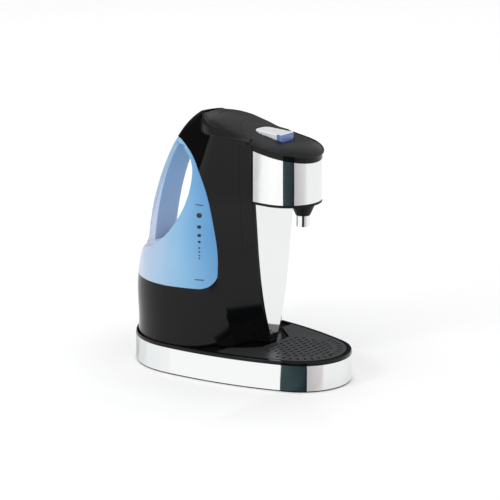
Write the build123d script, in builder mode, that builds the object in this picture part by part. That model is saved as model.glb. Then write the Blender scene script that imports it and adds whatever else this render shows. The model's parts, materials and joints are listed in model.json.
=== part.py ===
"""Hot water dispenser: a one-cup boiler with a see-through tank, a head with a nozzle and a drip tray.

Millimetres, +Z up, front towards -Y. The origin is the middle of the base on the table.
"""
import os
from collections import namedtuple
from math import acos, atan2, cos, hypot, radians, sin

from build123d import *

os.makedirs("parts", exist_ok=True)

# Clearances
face_gap = 0.3
fit_gap = 0.2
pin_clearance = 0.05
move_gap = 0.6

# Base: an egg of arcs, its rear arc under the tank and its nose under the cup
base_length = 277.0
base_rear_radius = 82.0
base_nose_radius = 58.0
foot_lift = 0.6
foot_radius = 8.0
foot_sink = 1.0
pan_floor = 2.4
pan_wall = 2.0
pan_edge_height = 1.0
pan_edge_inset = 0.5
band_height = 29.4
band_wall = 1.6
deck_thickness = 2.6
deck_inset = 0.3
rim_width = 5.5
rim_height = 1.4
rim_round = 0.9

# Heights that follow from the base
pan_top = foot_lift + pan_floor
band_bottom = foot_lift + pan_edge_height
band_top = band_bottom + band_height
deck_top = band_top + deck_thickness
base_half = base_length / 2
rear_centre = base_half - base_rear_radius
nose_centre = base_nose_radius - base_half

# Body envelope: sections of a round body that narrows to its rear, with a column of flat front before it
Station = namedtuple("Station", "height flat side_y side rear reach")
front_plane = -41.5
column_corner = 3.0
least_corner = 0.5
stations = (
    Station(height=deck_top, flat=5.0, side_y=48.0, side=79.0, rear=80.0, reach=136.8),
    Station(height=72.0, flat=16.5, side_y=45.5, side=77.5, rear=79.0, reach=135.9),
    Station(height=110.0, flat=25.0, side_y=42.0, side=74.0, rear=77.0, reach=134.6),
    Station(height=160.0, flat=31.5, side_y=34.0, side=66.0, rear=54.0, reach=128.0),
    Station(height=206.0, flat=36.0, side_y=26.0, side=55.5, rear=34.0, reach=117.0),
    Station(height=245.0, flat=37.0, side_y=17.0, side=45.5, rear=27.0, reach=100.0),
    Station(height=278.0, flat=35.8, side_y=10.0, side=38.8, rear=24.0, reach=77.0),
    Station(height=300.0, flat=33.0, side_y=3.0, side=35.0, rear=22.0, reach=46.0),
)
housing_wall = 2.6
housing_flange = 12.0
far = 1.5 * base_length
axis_up = (Align.CENTER, Align.CENTER, Align.MIN)

# Side view of the body: column split, tank window, grip hole and the seam under the lid and cover
split_top = (-23.2, 275.0)
split_foot = (-34.0, 34.0)
window_bottom = 103.2
window_corner = 18.0
window_curve = ((-5.2, 130.0), (2.8, 180.4), (19.7, 222.4), (41.6, 245.0), (73.4, 262.3))
grip_centre = (88.0, 195.0)
grip_curve = (
    (62.0, 256.0),
    (40.5, 230.0),
    (43.0, 197.0),
    (58.0, 170.0),
    (83.0, 145.5),
    (141.0, 120.0),
)
grip_outer_scale = 1.1
grip_inner_scale = 0.86
strap_half = 19.0
strap_thickness = 14.0
seam_rear = 275.0
seam_break = -20.0
seam_nose = ((-41.5, 271.6), (-70.0, 266.6), (-108.0, 257.6))
crest_line = (
    (-106.0, 259.5),
    (-90.0, 267.5),
    (-55.0, 275.5),
    (-20.0, 283.0),
    (8.0, 291.0),
    (38.0, 295.5),
    (70.0, 290.0),
)
crown_half = 40.0
crown_drop = 5.0

# Water tank
tank_gap = 0.4
tank_wall = 2.4
tank_floor = 2.6
tank_bottom = 66.0
tank_top = 268.0
tank_front = -24.0
tank_roof = 2.4
mouth_inset = 6.5
mouth_ledge = 4.0
grip_roof = 256.0
grip_wall_scale = 0.07
valve_radius = 9.0
valve_bore = 3.0
valve_collar_radius = 11.0
valve_flange_radius = 13.0
valve_flange = 2.0
filter_radius = 17.0
filter_wall = 1.2
filter_height = 11.4
filter_slots = 16
filter_slot = 1.6

# Mirror panel and riser
panel_margin = 0.8
panel_foot = 46.0
panel_foot_half = 7.0
panel_thickness = 1.2
riser_start = 48.0
riser_top = 238.0
riser_end = 200.0
riser_y = -31.5
riser_radius = 4.0
riser_bore = 2.75
riser_bend = 12.0
riser_way = 8.0
clip_heights = (110.0, 180.0)
clip_width = 11.0
clip_height = 8.0
clip_depth = 9.6

# Lid, its tongue-shaped front edge and its hinge
lid_rear = 52.0
lid_rear_radius = 42.0
tongue_y = -38.0
tongue_level = 275.0
tongue_half = 35.0
tongue_reach = 46.0
tongue_lean = 0.625
tongue_height = 25.0
tongue_depth = 13.0
hinge_y = -34.5
hinge_z = 273.6
hinge_relief = 1.3
knuckle_radius = 1.8
knuckle_inner = 32.6
knuckle_outer = 38.4
lug_inner = 27.0
lug_rise = 2.6
hinge_pin_radius = 0.8
lid_rim_inset = 3.0
lid_rim_wall = 2.0
lid_rim_bottom = 270.0
seal_width = 3.0
groove_spots = ((29.0, 295.9), (35.0, 296.5), (41.0, 296.6))
groove_radius = 1.6
groove_half = 8.0

# Head
head_half = 38.9
head_round_y = -61.0
head_bottom = 204.5
head_lip = 3.0
head_band_wall = 1.2
head_frame_wall = 2.2
collar_height = 6.5
cover_overhang = 1.4
nozzle_y = -82.4
nozzle_bottom = 178.6
nozzle_top = 191.0
nozzle_radius = 7.9
nozzle_bore = 4.2
spigot_radius = 6.0
spigot_top = 206.0
bowl_top_radius = 14.3
bowl_bottom_radius = 8.2
bowl_bottom = 191.3
bridge_bottom = 258.0
bridge_thickness = 2.4
bridge_front = -52.5

# Button and the switch under it
button_half = 12.2
button_rear = (-20.5, 282.6)
button_front = (-60.0, 281.0)
button_skirt_rear = 275.0
button_skirt_front = 272.0
button_wall = 1.8
button_round = 1.0
button_end_radius = 9.0
lens_depth = 5.5
button_pin_y = -25.0
button_pin_z = 277.0
button_pin_radius = 1.2
button_lug = 2.6
switch_width = 14.0
switch_depth = 9.0
switch_height = 9.0
switch_gap = 0.9
plunger_radius = 2.0
plunger_foot = 264.0
plunger_travel = 2.5
lamp_radius = 1.8
lamp_x = 4.6
lamp_height = 4.0

# Boiler and what stands under it
plate_bottom = 30.0
plate_thickness = 6.0
plate_radius = 46.0
pillar_ring = 42.0
pillar_count = 3
pillar_radius = 3.5
deck_opening = 52.0
pot_height = 22.0
pot_wall = 1.1
boiler_seal_width = 4.0
boiler_seal_height = 2.0
boiler_cap_radius = 48.0
boiler_cap_thickness = 3.5
element_ring = 34.0
element_radius = 4.0
element_turn = 300.0
element_pin_radius = 1.6
element_pin_length = 9.0
thermostat_radius = 8.0
thermostat_height = 8.0
fuse_radius = 3.5
fuse_length = 18.0
fuse_offset = 18.0
terminal_size = (28.0, 12.0, 14.0)
terminal_y = 116.0

# Fasteners, feet and cord inlet
screw_radius = 1.75
screw_head_radius = 3.2
screw_head_height = 2.0
screw_boss_radius = 4.5
screw_ring = 71.0
screw_angles = (60.0, 120.0, 190.0, 350.0)
foot_spots = ((-52.0, 92.0), (52.0, 92.0), (-36.0, -88.0), (36.0, -88.0))
gland_height = 16.0
gland_radius = 6.0
gland_length = 14.0
gland_bore = 3.5
gland_flange_radius = 8.0
gland_flange = 2.0

# Drip tray and grid
tray_rear = -14.0
tray_flange = 1.2
tray_wall = 1.6
tray_ledge = 3.0
basin_rear = -44.0
basin_bottom = 12.0
basin_corner = 8.0
grid_thickness = 1.8
grid_skirt = 4.0
slot_length = 6.0
slot_width = 2.4
slot_pitch = 9.4
slot_row_pitch = 7.0
slot_gap = 2.6
ring_slots = 17

# Places that follow from those sizes
ledge_height = deck_top - tray_flange
head_back = front_plane - fit_gap
band_z = head_bottom + head_lip
plate_top = plate_bottom + plate_thickness
pot_top = plate_top + pot_height
boiler_cap_bottom = pot_top + boiler_seal_height
boiler_cap_top = boiler_cap_bottom + boiler_cap_thickness
bridge_top = bridge_bottom + bridge_thickness
switch_y = head_back - switch_gap - switch_depth / 2
screw_spots = [
    (screw_ring * cos(radians(a)), rear_centre + screw_ring * sin(radians(a))) for a in screw_angles
]


def egg(inset):
    """Base outline: rear arc, two long side arcs and a nose arc, all tangent, drawn in by inset."""
    length = rear_centre - nose_centre
    side_radius = (base_rear_radius**2 + length**2 - base_nose_radius**2) / (
        2 * (base_rear_radius - base_nose_radius)
    )
    side_shift = side_radius - base_rear_radius
    turn = atan2(length, side_shift)
    rear = base_rear_radius - inset
    nose = base_nose_radius - inset
    side = side_radius - inset
    corner = (nose * cos(turn), nose_centre - nose * sin(turn))
    middle = (side * cos(turn / 2) - side_shift, rear_centre - side * sin(turn / 2))
    with BuildSketch() as outline:
        with BuildLine():
            ThreePointArc((rear, rear_centre), (0, rear_centre + rear), (-rear, rear_centre))
            ThreePointArc((-rear, rear_centre), (-middle[0], middle[1]), (-corner[0], corner[1]))
            ThreePointArc((-corner[0], corner[1]), (0, nose_centre - nose), corner)
            ThreePointArc(corner, middle, (rear, rear_centre))
        make_face()
    return outline.sketch


def tangent_turn(centre, radius, next_centre, next_radius):
    """Angle of the outward normal of the line along the right of two circles."""
    across = next_centre[0] - centre[0]
    along = next_centre[1] - centre[1]
    return atan2(along, across) - acos((radius - next_radius) / hypot(across, along))


def body_outline(station, inset):
    """Body section: flat front, tight corners, flaring sides, side arcs and a rear arc, drawn in by inset."""
    corner_y = front_plane + column_corner
    rear_y = station.reach - station.rear
    side_centre = (0, station.side_y)
    turn = tangent_turn((station.flat, corner_y), column_corner, side_centre, station.side)
    hip_turn = tangent_turn(side_centre, station.side, (0, rear_y), station.rear)
    corner = max(column_corner - inset, least_corner)
    shift = corner + inset - column_corner
    flat = station.flat - shift * (1 + sin(turn)) / cos(turn)

    def spot(x, y, radius, angle):
        return (x + radius * cos(angle), y + radius * sin(angle))

    front = front_plane + inset
    bend = spot(flat, corner_y + shift, corner, (turn - radians(90)) / 2)
    edge = spot(flat, corner_y + shift, corner, turn)
    shoulder = spot(*side_centre, station.side - inset, turn)
    belly = spot(*side_centre, station.side - inset, (turn + hip_turn) / 2)
    waist = spot(*side_centre, station.side - inset, hip_turn)
    hip = spot(0, rear_y, station.rear - inset, hip_turn)
    with BuildSketch() as outline:
        with BuildLine():
            Line((-flat, front), (flat, front))
            for side in (1, -1):
                ThreePointArc((side * flat, front), (side * bend[0], bend[1]), (side * edge[0], edge[1]))
                Line((side * edge[0], edge[1]), (side * shoulder[0], shoulder[1]))
                ThreePointArc(
                    (side * shoulder[0], shoulder[1]),
                    (side * belly[0], belly[1]),
                    (side * waist[0], waist[1]),
                )
                Line((side * waist[0], waist[1]), (side * hip[0], hip[1]))
            ThreePointArc(hip, (0, station.reach - inset), (-hip[0], hip[1]))
        make_face()
    return outline.sketch


def body_envelope(inset):
    """The whole body as one loft from a round foot to the slim top, drawn in by inset."""
    with BuildPart() as envelope:
        for station in stations:
            with BuildSketch(Plane.XY.offset(station.height)):
                add(body_outline(station, inset))
        loft()
    return envelope.part


def head_outline(inset, back):
    """Head plan: straight sides from the back line and a round front, drawn in by inset."""
    half = head_half - inset
    with BuildSketch() as outline:
        with BuildLine():
            Polyline((-half, head_round_y), (-half, back), (half, back), (half, head_round_y))
            ThreePointArc((half, head_round_y), (0, head_round_y - half), (-half, head_round_y))
        make_face()
    return outline.sketch


def cap_outline(inset):
    """Plan of lid and head cover: the head's plan run back to a round rear end, drawn in by inset."""
    rear_y = lid_rear - lid_rear_radius
    with BuildSketch() as outline:
        add(head_outline(inset - cover_overhang, rear_y))
        with Locations((0, rear_y)):
            Circle(head_half + cover_overhang - inset)
    return outline.sketch


def side_prism(points, half_width=far):
    """A prism across the body from the corners (y, z) of a side outline."""
    with BuildPart() as prism:
        with BuildSketch(Plane.YZ):
            with BuildLine():
                Polyline(*points, close=True)
            make_face()
        extrude(amount=half_width, both=True)
    return prism.part


def seam_prism(shift, roof):
    """From the seam under lid and head cover, level at the back and drooping to the nose, to roof."""
    with BuildPart() as prism:
        with BuildSketch(Plane.YZ):
            with BuildLine():
                droop = Spline(
                    (seam_break, seam_rear + shift),
                    *[(y, z + shift) for y, z in seam_nose],
                    tangents=((-1, 0), (-1, -0.3)),
                )
                nose = droop @ 1
                Polyline(
                    nose, (-far, nose.Y), (-far, roof), (far, roof), (far, seam_rear + shift), droop @ 0
                )
            make_face()
        extrude(amount=far, both=True)
    return prism.part


def above_seam(shift):
    """Everything above the seam, lifted by shift."""
    return seam_prism(shift, 2 * far)


def below_seam(shift):
    """Everything below the seam, lifted by shift."""
    return seam_prism(shift, -far)


def above_crest(shift):
    """Everything above the crowned top: arcs across the body, lofted along the crest line."""
    reach = 2 * crown_half
    drop = crown_drop * (reach / crown_half) ** 2
    with BuildPart() as sky:
        for y, z in crest_line:
            with BuildSketch(Plane.XZ.offset(-y)):
                with BuildLine():
                    crown = z + shift
                    arch = ThreePointArc((-reach, crown - drop), (0, crown), (reach, crown - drop))
                    Polyline(arch @ 1, (reach, 2 * far), (-reach, 2 * far), arch @ 0)
                make_face()
        loft()
    return sky.part


def window_prism(gap):
    """The tank window across the body, drawn in by gap: a sill, a round corner and a curve up to the tip."""
    curve = [(y + gap, z - gap) for y, z in window_curve]
    sill = window_bottom + gap
    corner = (curve[0][0] + window_corner, sill)
    with BuildPart() as prism:
        with BuildSketch(Plane.YZ):
            with BuildLine():
                Polyline(curve[-1], (far, curve[-1][1]), (far, sill), corner)
                bend = RadiusArc(corner, (curve[0][0], sill + window_corner), window_corner)
                Line(bend @ 1, curve[0])
                Spline(*curve, tangents=((0, 1), (1, 0.42)))
            make_face()
        extrude(amount=far, both=True)
    return prism.part


def grip_outline(scale, roof):
    """Side outline of the grip: its front and lower edge, open to the back and up to the roof height."""
    points = [
        (grip_centre[0] + scale * (y - grip_centre[0]), grip_centre[1] + scale * (z - grip_centre[1]))
        for y, z in grip_curve
    ]
    with BuildSketch() as outline:
        with BuildLine():
            edge = Spline(*points)
            Polyline(edge @ 1, (far, points[-1][1]), (far, roof), (points[0][0], roof), edge @ 0)
        make_face()
    return outline.sketch


def grip_scoop(growth, roof):
    """Both flared scoops of the grip and the way between them, with the side outline grown by growth."""
    with BuildPart() as scoop:
        with BuildSketch(Plane.YZ):
            add(grip_outline(grip_inner_scale + growth, roof))
        extrude(amount=strap_half, both=True)
        for side in (1, -1):
            with BuildSketch(Plane.YZ.offset(side * strap_half)):
                add(grip_outline(grip_inner_scale + growth, roof))
            with BuildSketch(Plane.YZ.offset(side * base_rear_radius)):
                add(grip_outline(grip_outer_scale + growth, roof))
            loft()
    return scoop.part


def tray_outline(inset):
    """Drip tray plan: inside the rim and clear of the body where it lifts past it, drawn in by inset."""
    with BuildSketch() as outline:
        add(egg(rim_width + inset))
        for station in stations[:3]:
            add(body_outline(station, -panel_thickness - face_gap - inset), mode=Mode.SUBTRACT)
        with Locations((0, tray_rear - inset)):
            Rectangle(far, far, align=(Align.CENTER, Align.MIN), mode=Mode.SUBTRACT)
    return outline.sketch


def basin_outline(inset):
    """Basin plan: inside the tray's ledge, straight across at the back, drawn in by inset."""
    with BuildSketch() as outline:
        add(egg(rim_width + tray_ledge + inset))
        with Locations((0, basin_rear - inset)):
            Rectangle(far, far, align=(Align.CENTER, Align.MIN), mode=Mode.SUBTRACT)
        fillet(outline.vertices().sort_by(Axis.Y)[-2:], basin_corner - inset)
    return outline.sketch


def lid_zone(gap):
    """The plan of lid and cover: everything in front of a round rear edge, grown by gap."""
    with BuildPart() as zone:
        with BuildSketch():
            with Locations((0, lid_rear - lid_rear_radius)):
                Circle(lid_rear_radius + gap)
                Rectangle(2 * far, far, align=(Align.CENTER, Align.MAX))
        extrude(amount=2 * far)
    return zone.part


def mouth_outline(inset):
    """Plan of the opening under the lid: inside the housing's wall and the lid's round rear edge."""
    with BuildSketch() as front:
        with Locations((0, lid_rear - lid_rear_radius)):
            Circle(lid_rear_radius - inset)
            Rectangle(2 * far, far, align=(Align.CENTER, Align.MAX))
    with BuildSketch() as outline:
        add(body_outline(stations[-2], housing_wall + inset))
        add(front.sketch, mode=Mode.INTERSECT)
    return outline.sketch


def tongue_zone(gap):
    """What the head cover takes of the top: all in front of the hinge and a tongue that narrows upward."""
    with BuildPart() as zone:
        for rise in (-tongue_depth, tongue_height):
            shrink = tongue_lean * rise - gap
            with BuildSketch(Plane.XY.offset(tongue_level + rise)):
                with Locations((0, tongue_y)):
                    Ellipse(tongue_half - shrink, tongue_reach - shrink)
        loft()
        with Locations((0, hinge_y - face_gap + gap, 0)):
            Box(2 * far, far, 2 * far, align=(Align.CENTER, Align.MAX, Align.MIN))
    return zone.part


def cross_rod(radius, inner, outer, y, z):
    """Two rods along X, one on each side, from inner to outer, at the height z."""
    with BuildPart() as rods:
        for side in (1, -1):
            with Locations(Plane((side * inner, y, z), z_dir=(side, 0, 0))):
                Cylinder(radius, outer - inner, align=axis_up)
    return rods.part


def column_zone(gap):
    """Everything in front of the leaning seam between the two housings, drawn back by gap."""
    lean = (split_top[0] - split_foot[0]) / (split_top[1] - split_foot[1])
    foot_y = split_foot[0] - gap - lean * split_foot[1]
    return side_prism(((foot_y, 0), (foot_y + lean * 2 * far, 2 * far), (-far, 2 * far), (-far, 0)))


outer = body_envelope(0)

# Top of body and head in one block, which the spine, the lid and the head cover are cut from
with BuildPart() as cap:
    add(outer)
    with BuildSketch(Plane.XY.offset(head_bottom)):
        add(cap_outline(0))
    extrude(amount=far / 2)
    add(below_seam(0), mode=Mode.SUBTRACT)
    add(above_crest(0), mode=Mode.SUBTRACT)
with BuildPart() as cap_hollow:
    add(body_envelope(housing_wall))
    with BuildSketch(Plane.XY.offset(head_bottom)):
        add(cap_outline(housing_wall))
    extrude(amount=far / 2)
    add(above_crest(-housing_wall), mode=Mode.SUBTRACT)
with BuildPart() as cap_shell:
    add(cap.part)
    add(cap_hollow.part, mode=Mode.SUBTRACT)

# Spine: the part of the top behind the lid
with BuildPart() as spine:
    add(cap_shell.part)
    add(lid_zone(face_gap), mode=Mode.SUBTRACT)

with BuildPart() as window_flush:
    add(outer)
    add(window_prism(face_gap), mode=Mode.INTERSECT)

# Base pan: the floor, a wall inside the band and an edge that shows under it
with BuildPart() as base_pan:
    with BuildSketch(Plane.XY.offset(foot_lift)):
        add(egg(pan_edge_inset))
    extrude(amount=pan_edge_height)
    with BuildSketch(Plane.XY.offset(foot_lift)):
        add(egg(band_wall + fit_gap))
    extrude(amount=band_top - foot_lift)
    with BuildSketch(Plane.XY.offset(pan_top)):
        add(egg(band_wall + fit_gap + pan_wall))
    extrude(amount=band_top - pan_top, mode=Mode.SUBTRACT)
    with BuildSketch(Plane.XY.offset(pan_top)):
        with Locations((0, rear_centre)):
            with PolarLocations(pillar_ring, pillar_count, start_angle=90):
                Circle(pillar_radius)
    extrude(amount=plate_bottom - pan_top)
    with BuildSketch(Plane.XY.offset(pan_top)):
        with Locations(*screw_spots):
            Circle(screw_boss_radius)
    extrude(amount=band_top - pan_top)
    with Locations(*[(x, y, foot_lift) for x, y in screw_spots]):
        Cylinder(screw_radius + pin_clearance, band_top, align=axis_up, mode=Mode.SUBTRACT)
        Cylinder(screw_head_radius + fit_gap, screw_head_height, align=axis_up, mode=Mode.SUBTRACT)
    with Locations(*[(x, y, foot_lift) for x, y in foot_spots]):
        Cylinder(foot_radius + fit_gap, foot_sink, align=axis_up, mode=Mode.SUBTRACT)
    with Locations(Plane((0, base_half, gland_height), z_dir=(0, -1, 0))):
        Cylinder(gland_radius + fit_gap, gland_length, align=axis_up, mode=Mode.SUBTRACT)
base_pan.part.label = "base_pan"
export_step(base_pan.part, "parts/base_pan.step")

# Rubber feet in their recesses
with BuildPart() as rubber_feet:
    with Locations(*[(x, y, 0) for x, y in foot_spots]):
        Cylinder(foot_radius, foot_lift + foot_sink, align=axis_up)
rubber_feet.part.label = "rubber_feet"
export_step(rubber_feet.part, "parts/rubber_feet.step")

# Chrome band round the base
with BuildPart() as base_band:
    with BuildSketch(Plane.XY.offset(band_bottom)):
        add(egg(0))
        add(egg(band_wall), mode=Mode.SUBTRACT)
    extrude(amount=band_height)
    with Locations(Plane((0, base_half + band_wall, gland_height), z_dir=(0, -1, 0))):
        Cylinder(gland_radius + fit_gap, gland_length, align=axis_up, mode=Mode.SUBTRACT)
base_band.part.label = "base_band"
export_step(base_band.part, "parts/base_band.step")

# Deck with a raised rim, a ledge for the drip tray and an opening over the boiler
with BuildPart() as base_deck:
    with BuildSketch(Plane.XY.offset(band_top)):
        add(egg(deck_inset))
    extrude(amount=deck_thickness + rim_height)
    fillet(base_deck.faces().sort_by(Axis.Z)[-1].edges(), rim_round)
    with BuildSketch(Plane.XY.offset(deck_top)):
        add(egg(rim_width))
        add(body_outline(stations[0], -move_gap - fit_gap))
    extrude(amount=2 * rim_height, mode=Mode.SUBTRACT)
    with BuildSketch(Plane.XY.offset(ledge_height)):
        add(tray_outline(0))
    extrude(amount=deck_thickness, mode=Mode.SUBTRACT)
    with BuildSketch(Plane.XY.offset(band_top)):
        add(basin_outline(-move_gap))
        with Locations((0, rear_centre)):
            Circle(deck_opening)
        with Locations(*screw_spots):
            Circle(screw_radius + pin_clearance)
    extrude(amount=deck_thickness, mode=Mode.SUBTRACT)
base_deck.part.label = "base_deck"
export_step(base_deck.part, "parts/base_deck.step")

# Drip tray: a flange on the deck's ledge and a basin below it
with BuildPart() as drip_tray:
    with BuildSketch(Plane.XY.offset(ledge_height)):
        add(tray_outline(move_gap))
    extrude(amount=tray_flange)
    with BuildSketch(Plane.XY.offset(basin_bottom)):
        add(basin_outline(0))
    extrude(amount=ledge_height + tray_flange - basin_bottom)
    with BuildSketch(Plane.XY.offset(basin_bottom + tray_wall)):
        add(basin_outline(tray_wall))
    extrude(amount=ledge_height, mode=Mode.SUBTRACT)
    fillet(drip_tray.faces().sort_by(Axis.Z)[0].edges(), tray_wall)
drip_tray.part.label = "drip_tray"
export_step(drip_tray.part, "parts/drip_tray.step")

# Drip grid: a plate of short slots, a ring of them along the nose, and a skirt inside the basin
grid_bottom = ledge_height + tray_flange
slot_reach = base_nose_radius - rim_width - tray_ledge - tray_wall - slot_length
ring_radius = slot_reach + slot_gap
row_count = int((basin_rear - nose_centre + slot_reach) / slot_row_pitch)
slot_spots = []
for row in range(row_count):
    row_y = basin_rear - tray_wall - slot_row_pitch * (row + 1)
    room = slot_reach - slot_length
    half_row = room if row_y > nose_centre else (max(room**2 - (row_y - nose_centre) ** 2, 0)) ** 0.5
    shift = slot_pitch / 2 if row % 2 else 0
    columns = int((half_row + shift) / slot_pitch)
    last = columns if shift else columns + 1
    slot_spots += [(slot_pitch * i + shift, row_y) for i in range(-columns, last)]
with BuildPart() as drip_grid:
    with BuildSketch(Plane.XY.offset(grid_bottom)):
        add(tray_outline(move_gap + fit_gap))
        with Locations(*slot_spots):
            Rectangle(slot_length, slot_width, mode=Mode.SUBTRACT)
        with Locations((0, nose_centre)):
            with PolarLocations(ring_radius, ring_slots, start_angle=180, angular_range=180):
                Rectangle(slot_length, slot_width, mode=Mode.SUBTRACT)
    extrude(amount=grid_thickness)
    with BuildSketch(Plane.XY.offset(grid_bottom - grid_skirt)):
        add(basin_outline(tray_wall + move_gap))
        add(basin_outline(2 * tray_wall + move_gap), mode=Mode.SUBTRACT)
    extrude(amount=grid_skirt)
drip_grid.part.label = "drip_grid"
export_step(drip_grid.part, "parts/drip_grid.step")

# Rear housing: the gloss shell round the tank, open at the window, with a foot flange on the deck
with BuildPart() as rear_housing:
    add(outer)
    add(body_envelope(housing_wall), mode=Mode.SUBTRACT)
    add(above_seam(0), mode=Mode.SUBTRACT)
    with BuildSketch(Plane.XY.offset(deck_top)):
        add(body_outline(stations[0], housing_wall / 2))
        add(body_outline(stations[0], housing_flange), mode=Mode.SUBTRACT)
        with Locations(*screw_spots):
            Circle(screw_radius + pin_clearance, mode=Mode.SUBTRACT)
    extrude(amount=housing_wall)
    add(window_prism(0), mode=Mode.SUBTRACT)
    add(column_zone(0), mode=Mode.SUBTRACT)
    add(spine.part)
rear_housing.part.label = "rear_housing"
export_step(rear_housing.part, "parts/rear_housing.step")

# Column housing: the front strip between the two side seams, with a way through for the riser, round
# seats for the lid's knuckles and a notch that the button dips into
with BuildPart() as column_housing:
    add(outer)
    add(body_envelope(housing_wall), mode=Mode.SUBTRACT)
    add(above_seam(0), mode=Mode.SUBTRACT)
    add(column_zone(fit_gap), mode=Mode.INTERSECT)
    with Locations(Plane((0, front_plane, riser_top), z_dir=(0, 1, 0))):
        Cylinder(riser_way, far / 20, mode=Mode.SUBTRACT)
    add(
        cross_rod(knuckle_radius + face_gap, knuckle_inner - face_gap, far, hinge_y, hinge_z),
        mode=Mode.SUBTRACT,
    )
    with Locations((0, front_plane, button_skirt_front - plunger_travel)):
        Box(2 * (button_half + move_gap), far / 20, far / 20, align=axis_up, mode=Mode.SUBTRACT)
column_housing.part.label = "column_housing"
export_step(column_housing.part, "parts/column_housing.step")

# Mirror panel on the flat front of the column, narrowing to the foot with it
panel_edge = [(s.flat - panel_margin, s.height) for s in stations[1:5]]
with BuildPart() as mirror_panel:
    with BuildSketch(Plane.XZ.offset(-front_plane)):
        with BuildLine():
            right = Spline((panel_foot_half, panel_foot), *panel_edge)
            left = Spline((-panel_foot_half, panel_foot), *[(-x, z) for x, z in panel_edge])
            Line(right @ 0, left @ 0)
            Line(right @ 1, left @ 1)
        make_face()
        with Locations((0, head_bottom - face_gap)):
            Rectangle(far, far, align=(Align.CENTER, Align.MIN), mode=Mode.SUBTRACT)
    extrude(amount=panel_thickness)
mirror_panel.part.label = "mirror_panel"
export_step(mirror_panel.part, "parts/mirror_panel.step")

# Grip: a flared scoop on each side and a hole between the tank and the strap
strap_line = [(station.reach - strap_thickness, station.height) for station in stations[2:7]]
with BuildPart() as grip_void:
    add(grip_scoop(0, grip_roof))
    with BuildSketch(Plane.YZ):
        with BuildLine():
            strap_face = Spline(*strap_line)
            Polyline(strap_face @ 1, (far, strap_line[-1][1]), (far, strap_line[0][1]), strap_face @ 0)
        make_face()
    extrude(amount=strap_half, both=True, mode=Mode.SUBTRACT)

# Tank cavity: inside the walls, in front of the grip
cavity_floor = tank_bottom + tank_floor
cavity_roof = tank_top - tank_roof
cavity_front = tank_front + tank_wall
with BuildPart() as tank_cavity:
    add(body_envelope(housing_wall + tank_gap + tank_wall))
    add(
        side_prism(
            (
                (cavity_front, cavity_floor),
                (far, cavity_floor),
                (far, cavity_roof),
                (cavity_front, cavity_roof),
            )
        ),
        mode=Mode.INTERSECT,
    )
    add(grip_scoop(grip_wall_scale, far * 2), mode=Mode.SUBTRACT)

# Water tank: flush with the housing in the window, inside it elsewhere, with the strap moulded on
with BuildPart() as water_tank:
    add(body_envelope(housing_wall + tank_gap))
    add(
        side_prism(
            ((tank_front, tank_bottom), (far, tank_bottom), (far, tank_top), (tank_front, tank_top))
        ),
        mode=Mode.INTERSECT,
    )
    add(window_flush.part)
    add(tank_cavity.part, mode=Mode.SUBTRACT)
    add(grip_void.part, mode=Mode.SUBTRACT)
    with Locations((0, rear_centre, tank_bottom)):
        Cylinder(valve_radius + fit_gap, 2 * tank_floor, align=axis_up, mode=Mode.SUBTRACT)
    with BuildSketch(Plane.XY.offset(cavity_roof - tank_roof)):
        add(mouth_outline(mouth_inset))
        with Locations((0, cavity_front + mouth_ledge)):
            Rectangle(far, far, align=(Align.CENTER, Align.MAX), mode=Mode.SUBTRACT)
    extrude(amount=far, mode=Mode.SUBTRACT)
water_tank.part.label = "water_tank"
export_step(water_tank.part, "parts/water_tank.step")

# Head band: the chrome wrap of the head
with BuildPart() as head_band:
    with BuildSketch(Plane.XY.offset(band_z)):
        add(head_outline(0, head_back))
        add(head_outline(head_band_wall, 0), mode=Mode.SUBTRACT)
    extrude(amount=far / 2)
    add(above_seam(-collar_height), mode=Mode.SUBTRACT)
head_band.part.label = "head_band"
export_step(head_band.part, "parts/head_band.step")

# Head frame: carries the band, shows as a collar above it and holds the switch on a bridge
frame_outer = head_band_wall + fit_gap
frame_inner = frame_outer + head_frame_wall
with BuildPart() as head_frame:
    with BuildSketch(Plane.XY.offset(band_z)):
        add(head_outline(0, head_back))
    extrude(amount=far / 2)
    add(above_seam(fit_gap - collar_height), mode=Mode.INTERSECT)
    with BuildSketch(Plane.XY.offset(band_z)):
        add(head_outline(frame_outer, head_back))
    extrude(amount=far / 2)
    add(above_seam(-fit_gap), mode=Mode.SUBTRACT)
    with BuildSketch(Plane.XY.offset(band_z)):
        add(head_outline(frame_inner, 0))
    extrude(amount=far, mode=Mode.SUBTRACT)
    with BuildSketch(Plane.XY.offset(bridge_bottom)):
        add(head_outline(frame_outer, head_back))
        with Locations((0, bridge_front)):
            Rectangle(far, far, align=(Align.CENTER, Align.MAX), mode=Mode.SUBTRACT)
    extrude(amount=bridge_thickness)
head_frame.part.label = "head_frame"
export_step(head_frame.part, "parts/head_frame.step")

# Head underside: the lip under the band and the bowl round the nozzle
with BuildPart() as head_underside:
    with BuildSketch(Plane.XY.offset(head_bottom)):
        add(head_outline(0, head_back))
    extrude(amount=head_lip)
    with Locations((0, nozzle_y, head_bottom)):
        Cone(
            bowl_bottom_radius,
            bowl_top_radius,
            head_bottom - bowl_bottom,
            align=(Align.CENTER, Align.CENTER, Align.MAX),
        )
    with Locations((0, nozzle_y, bowl_bottom)):
        Cylinder(spigot_radius + fit_gap / 2, far, align=axis_up, mode=Mode.SUBTRACT)
head_underside.part.label = "head_underside"
export_step(head_underside.part, "parts/head_underside.step")

# Nozzle: a short spout with a spigot up through the bowl
with BuildPart() as nozzle:
    with Locations((0, nozzle_y, nozzle_bottom)):
        Cylinder(nozzle_radius, nozzle_top - nozzle_bottom, align=axis_up)
        Cylinder(spigot_radius, spigot_top - nozzle_bottom, align=axis_up)
        Cylinder(nozzle_bore, far, align=axis_up, mode=Mode.SUBTRACT)
nozzle.part.label = "nozzle"
export_step(nozzle.part, "parts/nozzle.step")

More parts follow.
